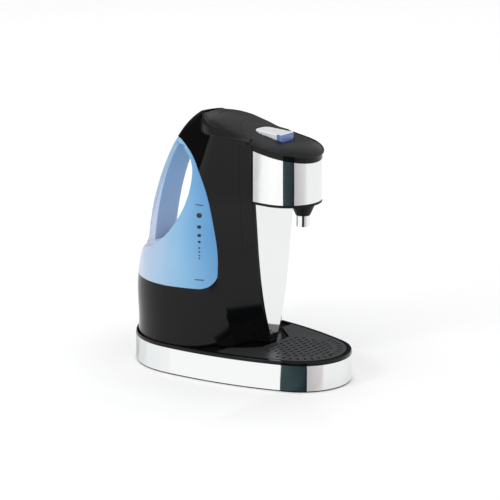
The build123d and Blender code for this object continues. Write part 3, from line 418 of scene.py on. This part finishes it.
def shade_as_body(mesh):
    """Gives the corners on the body's skin its own normals, so that reflections run over it evenly."""
    corners = np.empty(len(mesh.vertices) * 3)
    mesh.vertices.foreach_get("co", corners)
    gaps, normals = body_surface(corners.reshape(-1, 3))
    owner = np.empty(len(mesh.loops), dtype=np.int64)
    mesh.loops.foreach_get("vertex_index", owner)
    flat = np.empty(len(mesh.polygons) * 3)
    mesh.polygons.foreach_get("normal", flat)
    sides = np.empty(len(mesh.polygons), dtype=np.int64)
    mesh.polygons.foreach_get("loop_total", sides)
    flat = np.repeat(flat.reshape(-1, 3), sides, axis=0)
    shown = np.empty(len(mesh.loops) * 3)
    mesh.corner_normals.foreach_get("vector", shown)
    shown = shown.reshape(-1, 3)
    own = (abs(gaps[owner]) < skin_depth) & ((flat * normals[owner]).sum(axis=1) > skin_facing)
    shown[own] = normals[owner[own]]
    mesh.normals_split_custom_set(shown.tolist())


def new_piece(name, corners, faces, material, body, smooth_angle, on_body=False):
    """A mesh piece in the object's frame that rides on a body, shaded smooth up to an angle."""
    mesh = bpy.data.meshes.new(name)
    mesh.from_pydata(corners.tolist(), [], faces if isinstance(faces, list) else faces.tolist())
    mesh.update()
    mesh.shade_smooth()
    mesh.set_sharp_from_angle(angle=smooth_angle)
    mesh.materials.append(material)
    piece = bpy.data.objects.new(name, mesh)
    bpy.context.scene.collection.objects.link(piece)
    if on_body:
        shade_as_body(mesh)
    else:
        piece.modifiers.new("even_normals", "WEIGHTED_NORMAL").keep_sharp = True
    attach(piece, body)
    return piece


# Longest edge of a housing's triangles, and a reach in metres that takes in a whole piece
housing_cell = 4 * MM
whole_piece = 1.0


def smooth_copy(name, material, smooth_angle, on_body=False):
    """A copy of a CAD node with its corners joined, so that it shades as one surface, in its place."""
    corners, faces = node_arrays(name)
    if on_body:
        corners, faces, _ = refine(corners, faces, corners[:1], whole_piece, housing_cell)
    body, slot = node_body[name], node_slot[name]
    piece = new_piece(name + "_skin", corners, faces, material, body, smooth_angle, on_body)
    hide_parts(name)
    return piece


def edge_table(faces):
    """Every edge once, as two corners, and the three edges of each triangle."""
    edges, place = np.unique(
        np.sort(faces[:, [[0, 1], [1, 2], [2, 0]]].reshape(-1, 2), axis=1), axis=0, return_inverse=True
    )
    return edges, place.reshape(-1, 3)


def sharp_edges(corners, faces, angle):
    """Edges where two faces meet at more than an angle: corners, both normals, and whether they stand out."""
    edges, place = edge_table(faces)
    owner = np.repeat(np.arange(len(faces)), 3)
    order = np.argsort(place.reshape(-1), kind="stable")
    counts = np.bincount(place.reshape(-1), minlength=len(edges))
    starts = np.cumsum(counts) - counts
    paired = counts == 2
    first = owner[order[starts[paired]]]
    second = owner[order[starts[paired] + 1]]
    one, two, three = corners[faces.T]
    normals = np.cross(two - one, three - one)
    normals /= np.maximum(np.linalg.norm(normals, axis=1, keepdims=True), 1e-12)
    middles = corners[faces].mean(axis=1)
    sharp = (normals[first] * normals[second]).sum(axis=1) < math.cos(angle)
    proud = ((middles[second] - middles[first]) * normals[first]).sum(axis=1) < 0
    return edges[paired][sharp], normals[first][sharp], normals[second][sharp], proud[sharp]


def along(corners, edges, step):
    """Points spread along edges, no further apart than step."""
    a, b = corners[edges[:, 0]], corners[edges[:, 1]]
    counts = np.ceil(np.linalg.norm(b - a, axis=1) / step).astype(int) + 1
    owner = np.repeat(np.arange(len(edges)), counts)
    place = np.arange(len(owner)) - np.repeat(np.cumsum(counts) - counts, counts)
    share = (place / np.maximum(counts - 1, 1)[owner])[:, None]
    return a[owner] * (1 - share) + b[owner] * share


# Points whose distances are worked out in one go, and the most rounds of halving edges
nearest_block = 400
refine_rounds = 9


def nearest(points, marks):
    """Distance from each point to the nearest mark."""
    blocks = np.array_split(points, len(points) // nearest_block + 1)
    squares = [((block[:, None] - marks[None]) ** 2).sum(axis=2).min(axis=1) for block in blocks]
    return np.sqrt(np.concatenate(squares))


def refine(corners, faces, marks, reach, longest):
    """Halves each edge over longest that may pass within reach of a mark, and splits its triangles, round
    after round. Gives the corners, the triangles and each corner's distance from the marks."""
    distance = nearest(corners, marks)
    for _ in range(refine_rounds):
        edges, place = edge_table(faces)
        a, b = corners[edges[:, 0]], corners[edges[:, 1]]
        length = np.linalg.norm(a - b, axis=1)
        near = (length > longest) & (distance[edges].min(axis=1) - length / 2 < reach)
        if not near.any():
            break
        new = np.full(len(edges), -1)
        new[near] = len(corners) + np.arange(near.sum())
        halves = ((a + b) / 2)[near]
        corners = np.vstack((corners, halves))
        distance = np.concatenate((distance, nearest(halves, marks)))
        middle = new[place]
        count = (middle >= 0).sum(axis=1)
        # Turn each triangle so that a single split edge comes first, or a single whole edge last
        lead = np.where(count == 1, (middle >= 0).argmax(axis=1), ((middle < 0).argmax(axis=1) + 1) % 3)
        turn = (np.arange(3)[None] + lead[:, None]) % 3
        v = np.take_along_axis(faces, turn, axis=1)
        m = np.take_along_axis(middle, turn, axis=1)
        one, two, three = count == 1, count == 2, count == 3
        faces = np.vstack(
            (
                faces[count == 0],
                np.stack((v[one, 0], m[one, 0], v[one, 2]), axis=1),
                np.stack((m[one, 0], v[one, 1], v[one, 2]), axis=1),
                np.stack((m[two, 0], v[two, 1], m[two, 1]), axis=1),
                np.stack((v[two, 0], m[two, 0], m[two, 1]), axis=1),
                np.stack((v[two, 0], m[two, 1], v[two, 2]), axis=1),
                np.stack((v[three, 0], m[three, 0], m[three, 2]), axis=1),
                np.stack((m[three, 0], v[three, 1], m[three, 1]), axis=1),
                np.stack((m[three, 2], m[three, 1], v[three, 2]), axis=1),
                m[three],
            )
        )
    return corners, faces, distance


def fade(distance, reach):
    """One at no distance and nought at reach, with a soft start and end."""
    share = np.clip(1 - distance / reach, 0, 1)
    return share * share * (3 - 2 * share)


# Spacing of the marks along ridges and along the sharp edges that stay, the share of the reach within which
# those hold back the easing, and how far a point goes in one pass
ridge_spacing = 2 * MM
fixed_spacing = 1.5 * MM
hold_share = 1 / 4
pass_share = 0.6


def eased_copy(name, material, sizes, reach, passes, is_ridge, on_body=False):
    """A copy of a CAD node whose ridges are rounded as on a moulding: near them each point moves again and
    again towards the mean of its neighbours, less so further away and near the other sharp edges, which
    stay."""
    corners, faces = node_arrays(name)
    edges, one, other, proud = sharp_edges(corners, faces, sizes.smooth_angle)
    ridge = proud & is_ridge(corners[edges].mean(axis=1), one, other)
    ridge_marks = along(corners, edges[ridge], ridge_spacing)
    fixed_marks = along(corners, edges[~ridge], fixed_spacing)
    fixed_marks = fixed_marks[nearest(fixed_marks, ridge_marks) < 2 * reach]
    corners, faces, from_ridge = refine(corners, faces, ridge_marks, reach, sizes.ease_cell)
    weight = np.zeros(len(corners))
    close = from_ridge < reach
    held = fade(nearest(corners[close], fixed_marks), reach * hold_share)
    weight[close] = fade(from_ridge[close], reach) * (1 - held)
    # Full easing over the nearer half of the reach
    weight = np.minimum(2 * weight, 1)[:, None]
    pairs = edge_table(faces)[0]
    ends = np.concatenate((pairs[:, 0], pairs[:, 1]))
    others = np.concatenate((pairs[:, 1], pairs[:, 0]))
    count = np.bincount(ends, minlength=len(corners))[:, None]
    for _ in range(passes):
        total = np.stack([np.bincount(ends, corners[others, i], len(corners)) for i in range(3)], axis=1)
        corners = corners + pass_share * weight * (total / count - corners)
    body, slot = node_body[name], node_slot[name]
    piece = new_piece(name + "_skin", corners, faces, material, body, sizes.smooth_angle, on_body)
    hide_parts(name)
    return piece


def dress(names, material):
    """Gives CAD nodes that stay as they are a finish."""
    for name in names:
        slots = frame["nodes"][name].data.materials
        slots.clear()
        slots.append(material)


class DISPENSER_OT_shells(bpy.types.Operator):
    """Gloss housings, collar and deck"""

    bl_idname = "dispenser.shells"
    bl_label = "Housing shells"

    def execute(self, context):
        sizes = context.scene.dispenser_sizes
        gloss = gloss_abs(context.scene.dispenser_colours)
        for name in ("rear_housing", "column_housing"):
            smooth_copy(name, gloss, sizes.smooth_angle, on_body=True)
        for name in ("head_frame", "base_deck"):
            smooth_copy(name, gloss, sizes.smooth_angle)
        return {"FINISHED"}


# Plan of lid and head cover in millimetres: straight sides between two half rounds, where the lid's rolled
# edges end at the rear, and where the hinge parts them
cap_half = 40.3
nose_centre = -61.0
lid_centre = 10.0
lid_bead_end = 30.0
hinge_gap = (-32.4, -38.2)
# The seam under them: level behind the first point, then drooping to the nose, as (y, z)
seam_points = (
    (-20.0, 275.0),
    (-30.0, 273.9),
    (-41.5, 271.6),
    (-55.0, 269.4),
    (-70.0, 266.6),
    (-90.0, 262.2),
    (-108.0, 257.6),
)
seam_gap = 0.3
# A wall leans no more than this, and a top faces up at least this much, as the upward part of their normals
wall_limit = 0.35
top_limit = 0.5
# Front edge of the tank's window in millimetres, as heights and places, and how far behind it the grip starts
window_heights = (100.0, 130.0, 180.4, 222.4, 245.0, 262.3)
window_front = (-5.0, -5.2, 2.8, 19.7, 41.6, 73.4)
window_margin = 9.0
# Height above which the grip lies, half a width that clears the strap, and how far ahead of the body's rear
# the strap's outer edges reach
grip_bottom = 116.0
strap_half = 21.0
strap_depth = 8.0


def crown_ridge(centre_y):
    """Picks edges between an upright outer wall and the crowned top."""

    def test(middle, one, other):
        away = middle - np.array((0, centre_y * MM, 0))
        picks = []
        for wall, top in ((one, other), (other, one)):
            outward = (wall[:, :2] * away[:, :2]).sum(axis=1) > 0
            picks.append((abs(wall[:, 2]) < wall_limit) & outward & (top[:, 2] > top_limit))
        return picks[0] | picks[1]

    return test


def grip_ridge(middle, one, other):
    """Picks the outer edges of the grip: behind the window's front edge, and not those of the hole itself."""
    x, y, z = abs(middle[:, 0]) / MM, middle[:, 1] / MM, middle[:, 2] / MM
    rear = np.interp(z, body_sections[:, 0], body_sections[:, -1])
    front = np.interp(z, window_heights, window_front)
    outer = (x > strap_half) | (y > rear - strap_depth)
    return (y > front + window_margin) & (z > grip_bottom) & outer


class DISPENSER_OT_top(bpy.types.Operator):
    """Matte lid and head cover with rounded shoulders, nozzle bowl and pan"""

    bl_idname = "dispenser.top"
    bl_label = "Matte mouldings"

    def execute(self, context):
        sizes = context.scene.dispenser_sizes
        matte = matte_abs(context.scene.dispenser_colours)
        for name in ("head_underside", "base_pan"):
            smooth_copy(name, matte, sizes.smooth_angle)
        for name, centre_y in (("lid", lid_centre), ("head_cover", nose_centre)):
            eased_copy(name, matte, sizes, sizes.lid_ease, sizes.lid_passes, crown_ridge(centre_y))
        return {"FINISHED"}


def tube(path, radius, sides):
    """A closed round bar: a circle carried along a path, square to it, with a point at each end."""
    ahead = np.gradient(path, axis=0)
    ahead /= np.linalg.norm(ahead, axis=1, keepdims=True)
    across = np.cross(ahead, (0, 0, 1.0))
    across /= np.linalg.norm(across, axis=1, keepdims=True)
    above = np.cross(across, ahead)
    turn = np.linspace(0, 2 * math.pi, sides, endpoint=False)
    ring = np.cos(turn)[None, :, None] * across[:, None] + np.sin(turn)[None, :, None] * above[:, None]
    points = (path[:, None] + radius * ring).reshape(-1, 3)
    row = np.arange(sides)
    after = (row + 1) % sides
    start = (np.arange(len(path) - 1) * sides)[:, None]
    quads = np.stack((start + row, start + row + sides, start + after + sides, start + after), axis=2)
    last = (len(path) - 1) * sides
    tip = len(points)
    start_cap = np.stack((np.full(sides, tip), row, after), axis=1)
    end_cap = np.stack((np.full(sides, tip + 1), last + after, last + row), axis=1)
    points = np.vstack((points, path[:1] - ahead[:1] * radius, path[-1:] + ahead[-1:] * radius))
    return points, quads.reshape(-1, 4).tolist() + start_cap.tolist() + end_cap.tolist()


# How far the beads sink into the walls, as a share of their radius, and the corners of their circle
bead_sink = 0.3
bead_sides = 12
# Points along the round nose, the cover's sides, the lid's round rear and its sides
nose_points = 73
cover_side_points = 14
rear_points = 25
lid_side_points = 26


class DISPENSER_OT_beads(bpy.types.Operator):
    """Rolled lower edges of lid and head cover, which catch the light as a thin line"""

    bl_idname = "dispenser.beads"
    bl_label = "Rolled edges"

    def execute(self, context):
        sizes = context.scene.dispenser_sizes
        gloss = gloss_abs(context.scene.dispenser_colours)
        seam_y, seam_z = np.array(seam_points[::-1]).T
        half = cap_half - bead_sink * sizes.bead_radius / MM

        def rim(plan):
            height = np.interp(plan[:, 1], seam_y, seam_z) + seam_gap + sizes.bead_radius / MM
            return np.column_stack((plan, height)) * MM

        turn = np.linspace(0, math.pi, nose_points)
        nose = np.column_stack((-half * np.cos(turn), nose_centre - half * np.sin(turn)))
        sides = np.linspace(hinge_gap[1], nose_centre, cover_side_points)[:-1]
        left = np.column_stack((np.full(len(sides), -half), sides))
        right = np.column_stack((np.full(len(sides), half), sides))[::-1]
        cover = np.vstack((left, nose, right))
        rear = math.asin((lid_bead_end - lid_centre) / half)
        turn = np.linspace(rear, 0, rear_points)
        back = np.column_stack((-half * np.cos(turn), lid_centre + half * np.sin(turn)))
        sides = np.linspace(lid_centre, hinge_gap[0], lid_side_points)[1:]
        lid_left = np.vstack((back, np.column_stack((np.full(len(sides), -half), sides))))
        lid_right = (lid_left * (-1, 1))[::-1]
        for name, plan, body in (
            ("cover_bead", cover, "base"),
            ("lid_bead_left", lid_left, "lid"),
            ("lid_bead_right", lid_right, "lid"),
        ):
            points, faces = tube(rim(plan), sizes.bead_radius, bead_sides)
            new_piece(name, points, faces, gloss, body, sizes.smooth_angle)
        return {"FINISHED"}


class DISPENSER_OT_bright(bpy.types.Operator):
    """Bright bands, mirror panel and nozzle"""

    bl_idname = "dispenser.bright"
    bl_label = "Bright metal"

    def execute(self, context):
        sizes = context.scene.dispenser_sizes
        chrome = chrome_plate("chrome_plate", 0.03, 0.07)
        for name in ("base_band", "head_band", "nozzle"):
            smooth_copy(name, chrome, sizes.smooth_angle)
        smooth_copy("mirror_panel", chrome_plate("mirror_polished_steel", 0.04, 0.08), sizes.smooth_angle)
        return {"FINISHED"}


class DISPENSER_OT_tank(bpy.types.Operator):
    """Tinted water tank with its grip"""

    bl_idname = "dispenser.tank"
    bl_label = "Water tank"

    def execute(self, context):
        sizes = context.scene.dispenser_sizes
        tinted = tank_plastic(context.scene.dispenser_colours)
        ease, passes = sizes.grip_ease, sizes.grip_passes
        eased_copy("water_tank", tinted, sizes, ease, passes, grip_ridge, on_body=True)
        return {"FINISHED"}


# Level marks on the side of the tank, as (y, z, radius) in millimetres from the top dot down
level_dots = (
    (18.9, 186.4, 2.7),
    (17.3, 173.7, 2.0),
    (16.2, 164.3, 1.8),
    (15.4, 157.1, 1.35),
    (15.0, 150.3, 0.95),
    (14.5, 145.9, 0.85),
    (14.3, 141.9, 0.75),
    (13.9, 138.5, 0.75),
)
# Bars above and below them, as (y, z), and the points along each of a bar's long edges
level_bars = ((20.7, 197.8), (12.7, 114.0))
bar_points = 15


class DISPENSER_OT_marks(bpy.types.Operator):
    """Printed level dots and bars on the tank"""

    bl_idname = "dispenser.marks"
    bl_label = "Level marks"

    def execute(self, context):
        sizes = context.scene.dispenser_sizes
        corners, faces = node_arrays("water_tank")
        tank = BVHTree.FromPolygons(corners.tolist(), faces.tolist())
        turn = np.linspace(0, 2 * math.pi, sizes.dot_sides, endpoint=False)
        rings = []
        for y, z, radius in level_dots:
            ring = np.stack((sizes.dot_width * np.cos(turn), np.sin(turn)), axis=1) * radius * MM
            rings.append(ring + np.array((y, z)) * MM)
        run = np.linspace(-1, 1, bar_points)
        edge = np.ones(bar_points)
        bar = np.vstack((np.column_stack((run, -edge)), np.column_stack((run[::-1], edge))))
        bar *= (sizes.bar_length / 2, sizes.bar_height / 2)
        for y, z in level_bars:
            rings.append(bar + np.array((y, z)) * MM)
        # Each mark is a thin plug: its face stands off the tank and its back is as deep inside the wall
        points = []
        plugs = []
        for ring in rings:
            count = len(ring)
            row = np.arange(count) + len(points)
            after = np.roll(row, -1)
            plugs += [row[::-1].tolist(), (row + count).tolist()]
            plugs += np.stack((row, after, after + count, row + count), axis=1).tolist()
            hits = [tank.ray_cast(Vector((cad_box[0][0], y, z)), Vector((1, 0, 0))) for y, z in ring]
            for lift in (sizes.mark_lift, -sizes.mark_lift):
                points += [spot + normal * lift for spot, normal, _, _ in hits]
        mesh = bpy.data.meshes.new("level_marks")
        mesh.from_pydata(points, [], plugs)
        mesh.materials.append(print_ink(context.scene.dispenser_colours))
        marks = bpy.data.objects.new("level_marks", mesh)
        context.scene.collection.objects.link(marks)
        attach(marks, node_body["water_tank"])
        return {"FINISHED"}


# The paint covers faces of the lens whose normals rise more than this
painted_rise = 0.6


class DISPENSER_OT_button(bpy.types.Operator):
    """Silver button with its tinted front"""

    bl_idname = "dispenser.button"
    bl_label = "Button"

    def execute(self, context):
        sizes = context.scene.dispenser_sizes
        colours = context.scene.dispenser_colours
        silver = silver_paint(colours)
        smooth_copy("button_paddle", silver, sizes.smooth_angle)
        lens = smooth_copy("button_lens", lens_plastic(colours), sizes.smooth_angle).data
        # The paint runs on over the top of the lens
        lens.materials.append(silver)
        upright = np.empty(len(lens.polygons) * 3)
        lens.polygons.foreach_get("normal", upright)
        painted = (upright.reshape(-1, 3)[:, 2] > painted_rise).astype(np.int32)
        lens.polygons.foreach_set("material_index", painted)
        return {"FINISHED"}


class DISPENSER_OT_grid(bpy.types.Operator):
    """Slotted drip grid and the tray under it"""

    bl_idname = "dispenser.grid"
    bl_label = "Drip grid"

    def execute(self, context):
        sizes = context.scene.dispenser_sizes
        colours = context.scene.dispenser_colours
        smooth_copy("drip_grid", grid_plastic(colours), sizes.smooth_angle)
        smooth_copy("drip_tray", tray_plastic(colours), sizes.smooth_angle)
        return {"FINISHED"}


class DISPENSER_OT_inside(bpy.types.Operator):
    """Finishes of the pieces inside and underneath"""

    bl_idname = "dispenser.inside"
    bl_label = "Inner pieces"

    def execute(self, context):
        rubber = hidden_finish("black_rubber", "#161616", 0.0, 0.7, 0.85, 0.8)
        steel = hidden_finish("drawn_steel", "#a9aaad", 1.0, 0.22, 0.34, 0.6)
        white = hidden_finish("white_polypropylene", "#dddcd6", 0.0, 0.4, 0.5, 1.5)
        dress(("rubber_feet", "cord_gland", "boiler_seal", "lid_seal", "inlet_valve"), rubber)
        dress(("riser_tube",), hidden_finish("silicone_tube", "#d2d2cc", 0.0, 0.45, 0.55, 1.2))
        dress(("heating_element", "thermostat", "boiler_pot"), steel)
        dress(("case_screws", "lid_pins", "button_pin"), steel)
        dress(("heater_plate",), hidden_finish("cast_aluminium", "#b4b5b8", 1.0, 0.4, 0.55, 0.9))
        dress(("boiler_cap", "tank_filter", "thermal_fuse", "terminal_block", "tube_clips"), white)
        dress(("switch_block", "switch_plunger"), white)
        dress(("indicator_lamp",), hidden_finish("lamp_glass", "#9db4ee", 0.0, 0.1, 0.2, 2.0))
        return {"FINISHED"}


# Camera: where it stands around the object, and where its middle looks
camera_azimuth = math.radians(-52.36)
camera_elevation = math.radians(14.71)
camera_distance = 3066 * MM
camera_right = 50.77 * MM
camera_up = 123.72 * MM
camera_aim = Vector((0, 56.6, 0)) * MM
camera_reach = 20.0
# Soft lamps: name, place and side in metres, and watts, with the point that they face
lamps = (
    ("key", (-1.7, 0.3, 1.2), 0.35, 5.0),
    ("rim", (1.3, 1.5, 1.3), 0.9, 2.0),
)
lamp_aim = Vector((0, 0, 0.15))
# Cards that only bright and glossy surfaces mirror. Each lies between two rays, given as a plan point and a
# direction, with a tone on either side, a strength, and the distances along them between which it runs, in
# millimetres.
base_rear_end = ((-50.0, 121.6), (0.71, 0.69))
base_rear_far = ((-69.5, 100.1), (0.196, 0.947))
base_rear = ((-77.9, 82.0), (-0.227, 0.93))
base_side = ((-81.8, 44.6), (-0.769, 0.569))
base_left = ((-56.8, -93.6), (-0.955, -0.025))
base_right = ((-42.2, -120.3), (-0.611, -0.734))
base_nose = ((-26.3, -132.2), (-0.028, -0.967))
head_rear = ((-38.9, -30.0), (-0.775, 0.59))
head_side = ((-38.9, -48.0), (-0.775, 0.59))
head_left = ((-34.1, -79.8), (-0.91, -0.347))
head_right = ((-26.3, -89.6), (-0.515, -0.827))
head_nose = ((-13.3, -97.6), (0.207, -0.946))
floor_cards = (
    (base_rear_end, "#b4b6b6", base_rear_far, "#e6e8e8", 1.05, 0, 128),
    (base_rear_far, "#e6e8e8", base_rear, "#f2f4f4", 1.05, 0, 128),
    (base_rear, "#f6f8f8", base_side, "#ffffff", 1.05, 0, 128),
    (base_side, "#ffffff", base_left, "#ffffff", 1.1, 0, 128),
    (base_left, "#3d4d4e", base_right, "#1c2933", 1.0, 0, 128),
    (base_right, "#c9c5c6", base_nose, "#f0eeec", 1.0, 0, 128),
    (head_rear, "#c6c8c8", head_side, "#d2d4d4", 1.0, 620, 1350),
    (head_left, "#3b4b4c", head_right, "#1a2731", 1.0, 620, 1350),
    (head_right, "#c6c2c5", head_nose, "#f4f4f4", 1.0, 620, 1350),
)
card_lift = 0.4 * MM
# A darker wall far behind the object, which its top mirrors, in millimetres
wall_line = ((-1400.0, 2500.0), (700.0, 2700.0), (2700.0, 1300.0))
wall_heights = (5.0, 1600.0)
wall_tone = "#48484b"


def plane_piece(name, corners, faces, material):
    """A stage piece from flat faces."""
    mesh = bpy.data.meshes.new(name)
    mesh.from_pydata(corners, [], faces)
    mesh.materials.append(material)
    piece = bpy.data.objects.new(name, mesh)
    bpy.context.scene.collection.objects.link(piece)
    return piece


def mirror_card(name, corners, faces, tones, strength):
    """A card with a tone at each corner that shows in mirrored light alone."""
    material = bpy.data.materials.new(name)
    material.use_nodes = True
    tree = material.node_tree
    tree.nodes.clear()
    tone = add(tree, "ShaderNodeAttribute", attribute_name="tone")
    glow = add(tree, "ShaderNodeEmission", {"Color": tone.outputs["Color"], "Strength": strength})
    add(tree, "ShaderNodeOutputMaterial", {"Surface": glow.outputs["Emission"]})
    card = plane_piece(name, corners, faces, material)
    layer = card.data.color_attributes.new("tone", "FLOAT_COLOR", "POINT")
    values = np.array([(*linear(code), 1) for code in tones], dtype=np.float32)
    layer.data.foreach_set("color", values.ravel())
    for way in ("camera", "diffuse", "transmission", "volume_scatter", "shadow"):
        setattr(card, "visible_" + way, False)


class DISPENSER_OT_stage(bpy.types.Operator):
    """Floor, light and camera"""

    bl_idname = "dispenser.stage"
    bl_label = "Stage"

    def execute(self, context):
        scene = context.scene
        sizes = scene.dispenser_sizes
        colours = scene.dispenser_colours
        reach = sizes.floor_size / 2
        pale = begin_material("pale_floor", **{"Base Color": (*colours.floor, 1), "Roughness": 0.95})[0]
        square = [(-reach, -reach, 0), (reach, -reach, 0), (reach, reach, 0), (-reach, reach, 0)]
        plane_piece("floor", square, [(0, 1, 2, 3)], pale)
        for number, (one, tone, other, other_tone, strength, near, far) in enumerate(floor_cards):
            corners = []
            for (spot, way), distance in ((one, near), (one, far), (other, far), (other, near)):
                place = (np.array(spot) + np.array(way) * distance) * MM
                corners.append((*place, card_lift))
            tones = (tone, tone, other_tone, other_tone)
            mirror_card(f"card_{number}", corners, [(0, 1, 2, 3)], tones, strength)
        corners = [(x * MM, y * MM, z * MM) for x, y in wall_line for z in wall_heights]
        mirror_card("far_wall", corners, [(0, 1, 3, 2), (2, 3, 5, 4)], [wall_tone] * len(corners), 1.0)
        world = bpy.data.worlds.new("studio")
        world.use_nodes = True
        sky = world.node_tree.nodes["Background"].inputs
        sky["Color"].default_value = (1, 1, 1, 1)
        sky["Strength"].default_value = 1.0
        scene.world = world
        for name, place, size, power in lamps:
            lamp = bpy.data.lights.new(name, "AREA")
            lamp.size = size
            lamp.energy = power
            light = bpy.data.objects.new(name, lamp)
            facing = (Vector(place) - lamp_aim).to_track_quat("Z", "Y")
            light.matrix_world = Matrix.Translation(place) @ facing.to_matrix().to_4x4()
            scene.collection.objects.link(light)
        back = Vector(
            (
                math.sin(camera_azimuth) * math.cos(camera_elevation),
                -math.cos(camera_azimuth) * math.cos(camera_elevation),
                math.sin(camera_elevation),
            )
        )
        right = Vector((math.cos(camera_azimuth), math.sin(camera_azimuth), 0))
        up = back.cross(right)
        data = bpy.data.cameras.new("camera")
        data.lens = sizes.camera_lens
        data.clip_end = camera_reach
        camera = bpy.data.objects.new("camera", data)
        spot = camera_aim + back * camera_distance + right * camera_right + up * camera_up
        camera.matrix_world = Matrix(
            (
                (right.x, up.x, back.x, spot.x),
                (right.y, up.y, back.y, spot.y),
                (right.z, up.z, back.z, spot.z),
                (0, 0, 0, 1),
            )
        )
        scene.collection.objects.link(camera)
        scene.camera = camera
        scene.view_settings.view_transform = "Standard"
        return {"FINISHED"}


class DISPENSER_PT_panel(bpy.types.Panel):
    """Lists the steps and the values that they use."""

    bl_label = "Hot water dispenser"
    bl_idname = "DISPENSER_PT_panel"
    bl_space_type = "VIEW_3D"
    bl_region_type = "UI"
    bl_category = "Dispenser"

    def draw(self, context):
        for step in steps:
            self.layout.operator(step.bl_idname)
        for group in (context.scene.dispenser_colours, context.scene.dispenser_sizes):
            for name in group.__annotations__:
                self.layout.prop(group, name)


steps = (
    DISPENSER_OT_shells,
    DISPENSER_OT_top,
    DISPENSER_OT_beads,
    DISPENSER_OT_bright,
    DISPENSER_OT_tank,
    DISPENSER_OT_marks,
    DISPENSER_OT_button,
    DISPENSER_OT_grid,
    DISPENSER_OT_inside,
    DISPENSER_OT_stage,
)
classes = (DispenserColours, DispenserSizes, *steps, DISPENSER_PT_panel)


def register():
    """Registers the classes and the values on the scene."""
    for item in classes:
        bpy.utils.register_class(item)
    bpy.types.Scene.dispenser_colours = PointerProperty(type=DispenserColours)
    bpy.types.Scene.dispenser_sizes = PointerProperty(type=DispenserSizes)


def unregister():
    """Takes the classes and the values away again."""
    del bpy.types.Scene.dispenser_sizes
    del bpy.types.Scene.dispenser_colours
    for item in reversed(classes):
        bpy.utils.unregister_class(item)


def main():
    """Registers the add-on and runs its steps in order."""
    register()
    for step in steps:
        group, name = step.bl_idname.split(".")
        getattr(getattr(bpy.ops, group), name)()


if __name__ == "__main__":
    main()
